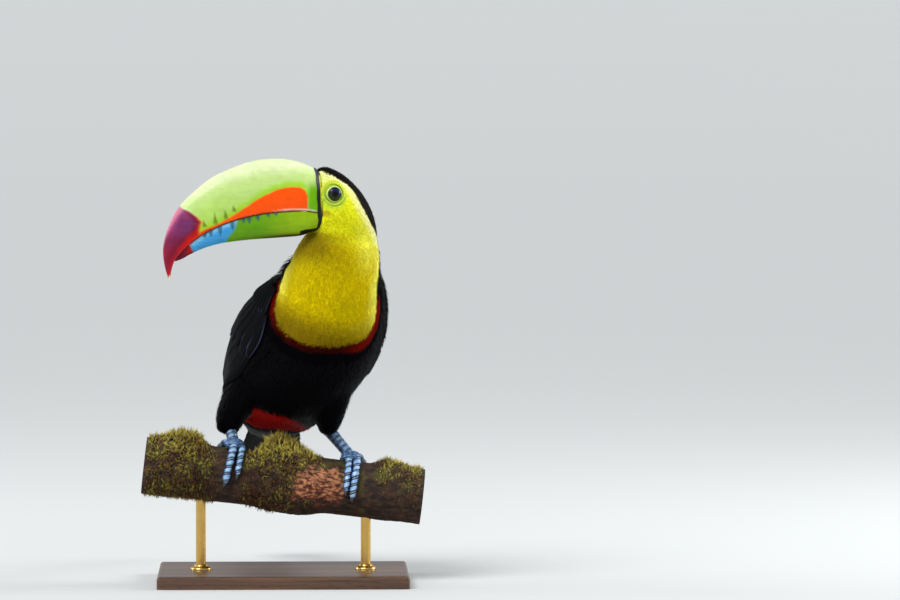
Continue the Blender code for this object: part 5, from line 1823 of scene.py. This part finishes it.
# Flight feather: zipped barbs, drawn as some forty slanting ribs to a vane, coarser
# than real ones so that they show. Black with a cold blue gloss along the ribs.
quill_finish, tree, surface = finish_of(
    "stiff_black_quill", Roughness=0.45, IOR=1.5, Specular_IOR_Level=0.014,
)
strip = add(tree, "UVMap", uv_map="Vane").outputs[0]
parts = add(tree, "SeparateXYZ", {0: strip})
off_shaft = add(tree, "Math", {0: parts.outputs[1], 1: 0.5}, operation="SUBTRACT")
slant = add(tree, "Math", {0: off_shaft.outputs[0]}, operation="ABSOLUTE")
slanting = {0: slant.outputs[0], 1: RIB_SLANT, 2: parts.outputs[0]}
leaning = add(tree, "Math", slanting, operation="MULTIPLY_ADD")
ribs = add(tree, "Math", {0: leaning.outputs[0], 1: RIB_WAVE}, operation="MULTIPLY")
wave = add(tree, "Math", {0: ribs.outputs[0]}, operation="SINE")
tinted(tree, surface, wave.outputs[0], -1.0, 1.0, 0.7, 1.25, 0.35, 0.0002)

QUILL_BLACK = linear("060709")
# The bluish colour of the painted glints on some vanes' edges.
QUILL_GLINT = linear("3c405c")


def on_wing(sign, t, share):
    """A place on the folded wing: from front to tip, and from lower to upper edge."""
    section, low, high = through(WING_SECTIONS, t)
    turn = math.radians(low + (high - low) * share)
    if sign < 0:
        turn = math.pi - turn
    centre, side, back, half_width, half_depth = torso_section(section)
    c, s = math.cos(turn), math.sin(turn)
    across, height = bulged(c, 2 / TORSO_FULLNESS), bulged(s, 2 / TORSO_FULLNESS)
    return centre + side * across * (half_width + WING_GAP) + back * height * (half_depth + WING_GAP)


def between(pair, share):
    """The value this share of the way from the first of a pair to the second."""
    return pair[0] + (pair[1] - pair[0]) * share


for side_name, sign in (("left", 1), ("right", -1)):
    for row_name, (count, begin, finish, low, high, half_width, lift) in WING_ROWS.items():
        feathers = []
        for k in range(count):
            share = k / (count - 1)
            start, end = between(begin, share), between(finish, share)
            if row_name == "primaries":
                end = finish[1] - (finish[1] - finish[0]) * (1 - share) ** 1.5
            foot, tip = between(low, share), between(high, share)
            path = []
            for j in range(6):
                bow = 0.04 * math.sin(math.pi * j / 5)
                path.append(on_wing(sign, between((start, end), j / 5), between((foot, tip), j / 5) + bow))
            width = half_width * (1 + 0.06 * float(coat_rng.normal()))
            feathers.append((path, width, (lift[0] - 0.8, lift[1] + 0.25 * share), -0.25 * sign))
        blunt = BLUNT_PRIMARY if row_name == "primaries" else BLUNT_VANE
        vanes(f"wing_{side_name}_{row_name}", feathers, blunt)

# ---- Tail ----------------------------------------------------------------------
# Ten long black tail feathers in a shallow arch, the middle pair on top, each
# shorter than the one inside it, their roots hidden in the coverts.

TAIL_LENGTH = 163.0
TAIL_PAIRS = 5
TAIL_HALF_WIDTH = 24.0
TAIL_ARCH = 3.5
TAIL_VANE_WIDTH = 8.6
# How far down the tail the vanes above and below start, clear of their coverts.
TAIL_FEET = {"upper": 30, "under": 14}

for face_name, foot in TAIL_FEET.items():
    above = 1 if face_name == "upper" else -1
    feathers = []
    for k in range(TAIL_PAIRS):
        for sign in (1, -1):
            outward = (TAIL_PAIRS - 1 - k + 0.5) / (TAIL_PAIRS - 0.5)
            reach = TAIL_LENGTH - 3.0 - 13.0 * outward**2
            path = []
            for along in (j / 6 for j in range(7)):
                distance = foot + (reach - foot) * along
                across = sign * outward * TAIL_HALF_WIDTH * (0.6 + 0.2 * along)
                drop = TAIL_ARCH * (across / 28) ** 2
                thickness = (9.0 - 7.6 * smooth(distance, 0, 140)) * above
                spot = TAIL_ROOT + TAIL_RUN * distance * MM + TAIL_LEFT * across * MM
                path.append(spot + TAIL_RISE * (thickness - drop) * MM)
            height = 0.2 + 0.22 * (k if above > 0 else TAIL_PAIRS - k)
            feathers.append((path, TAIL_VANE_WIDTH, (height - 0.5, height + 0.1), 0.2 * sign))
    vanes("tail_" + face_name, feathers, BLUNT_TAIL)
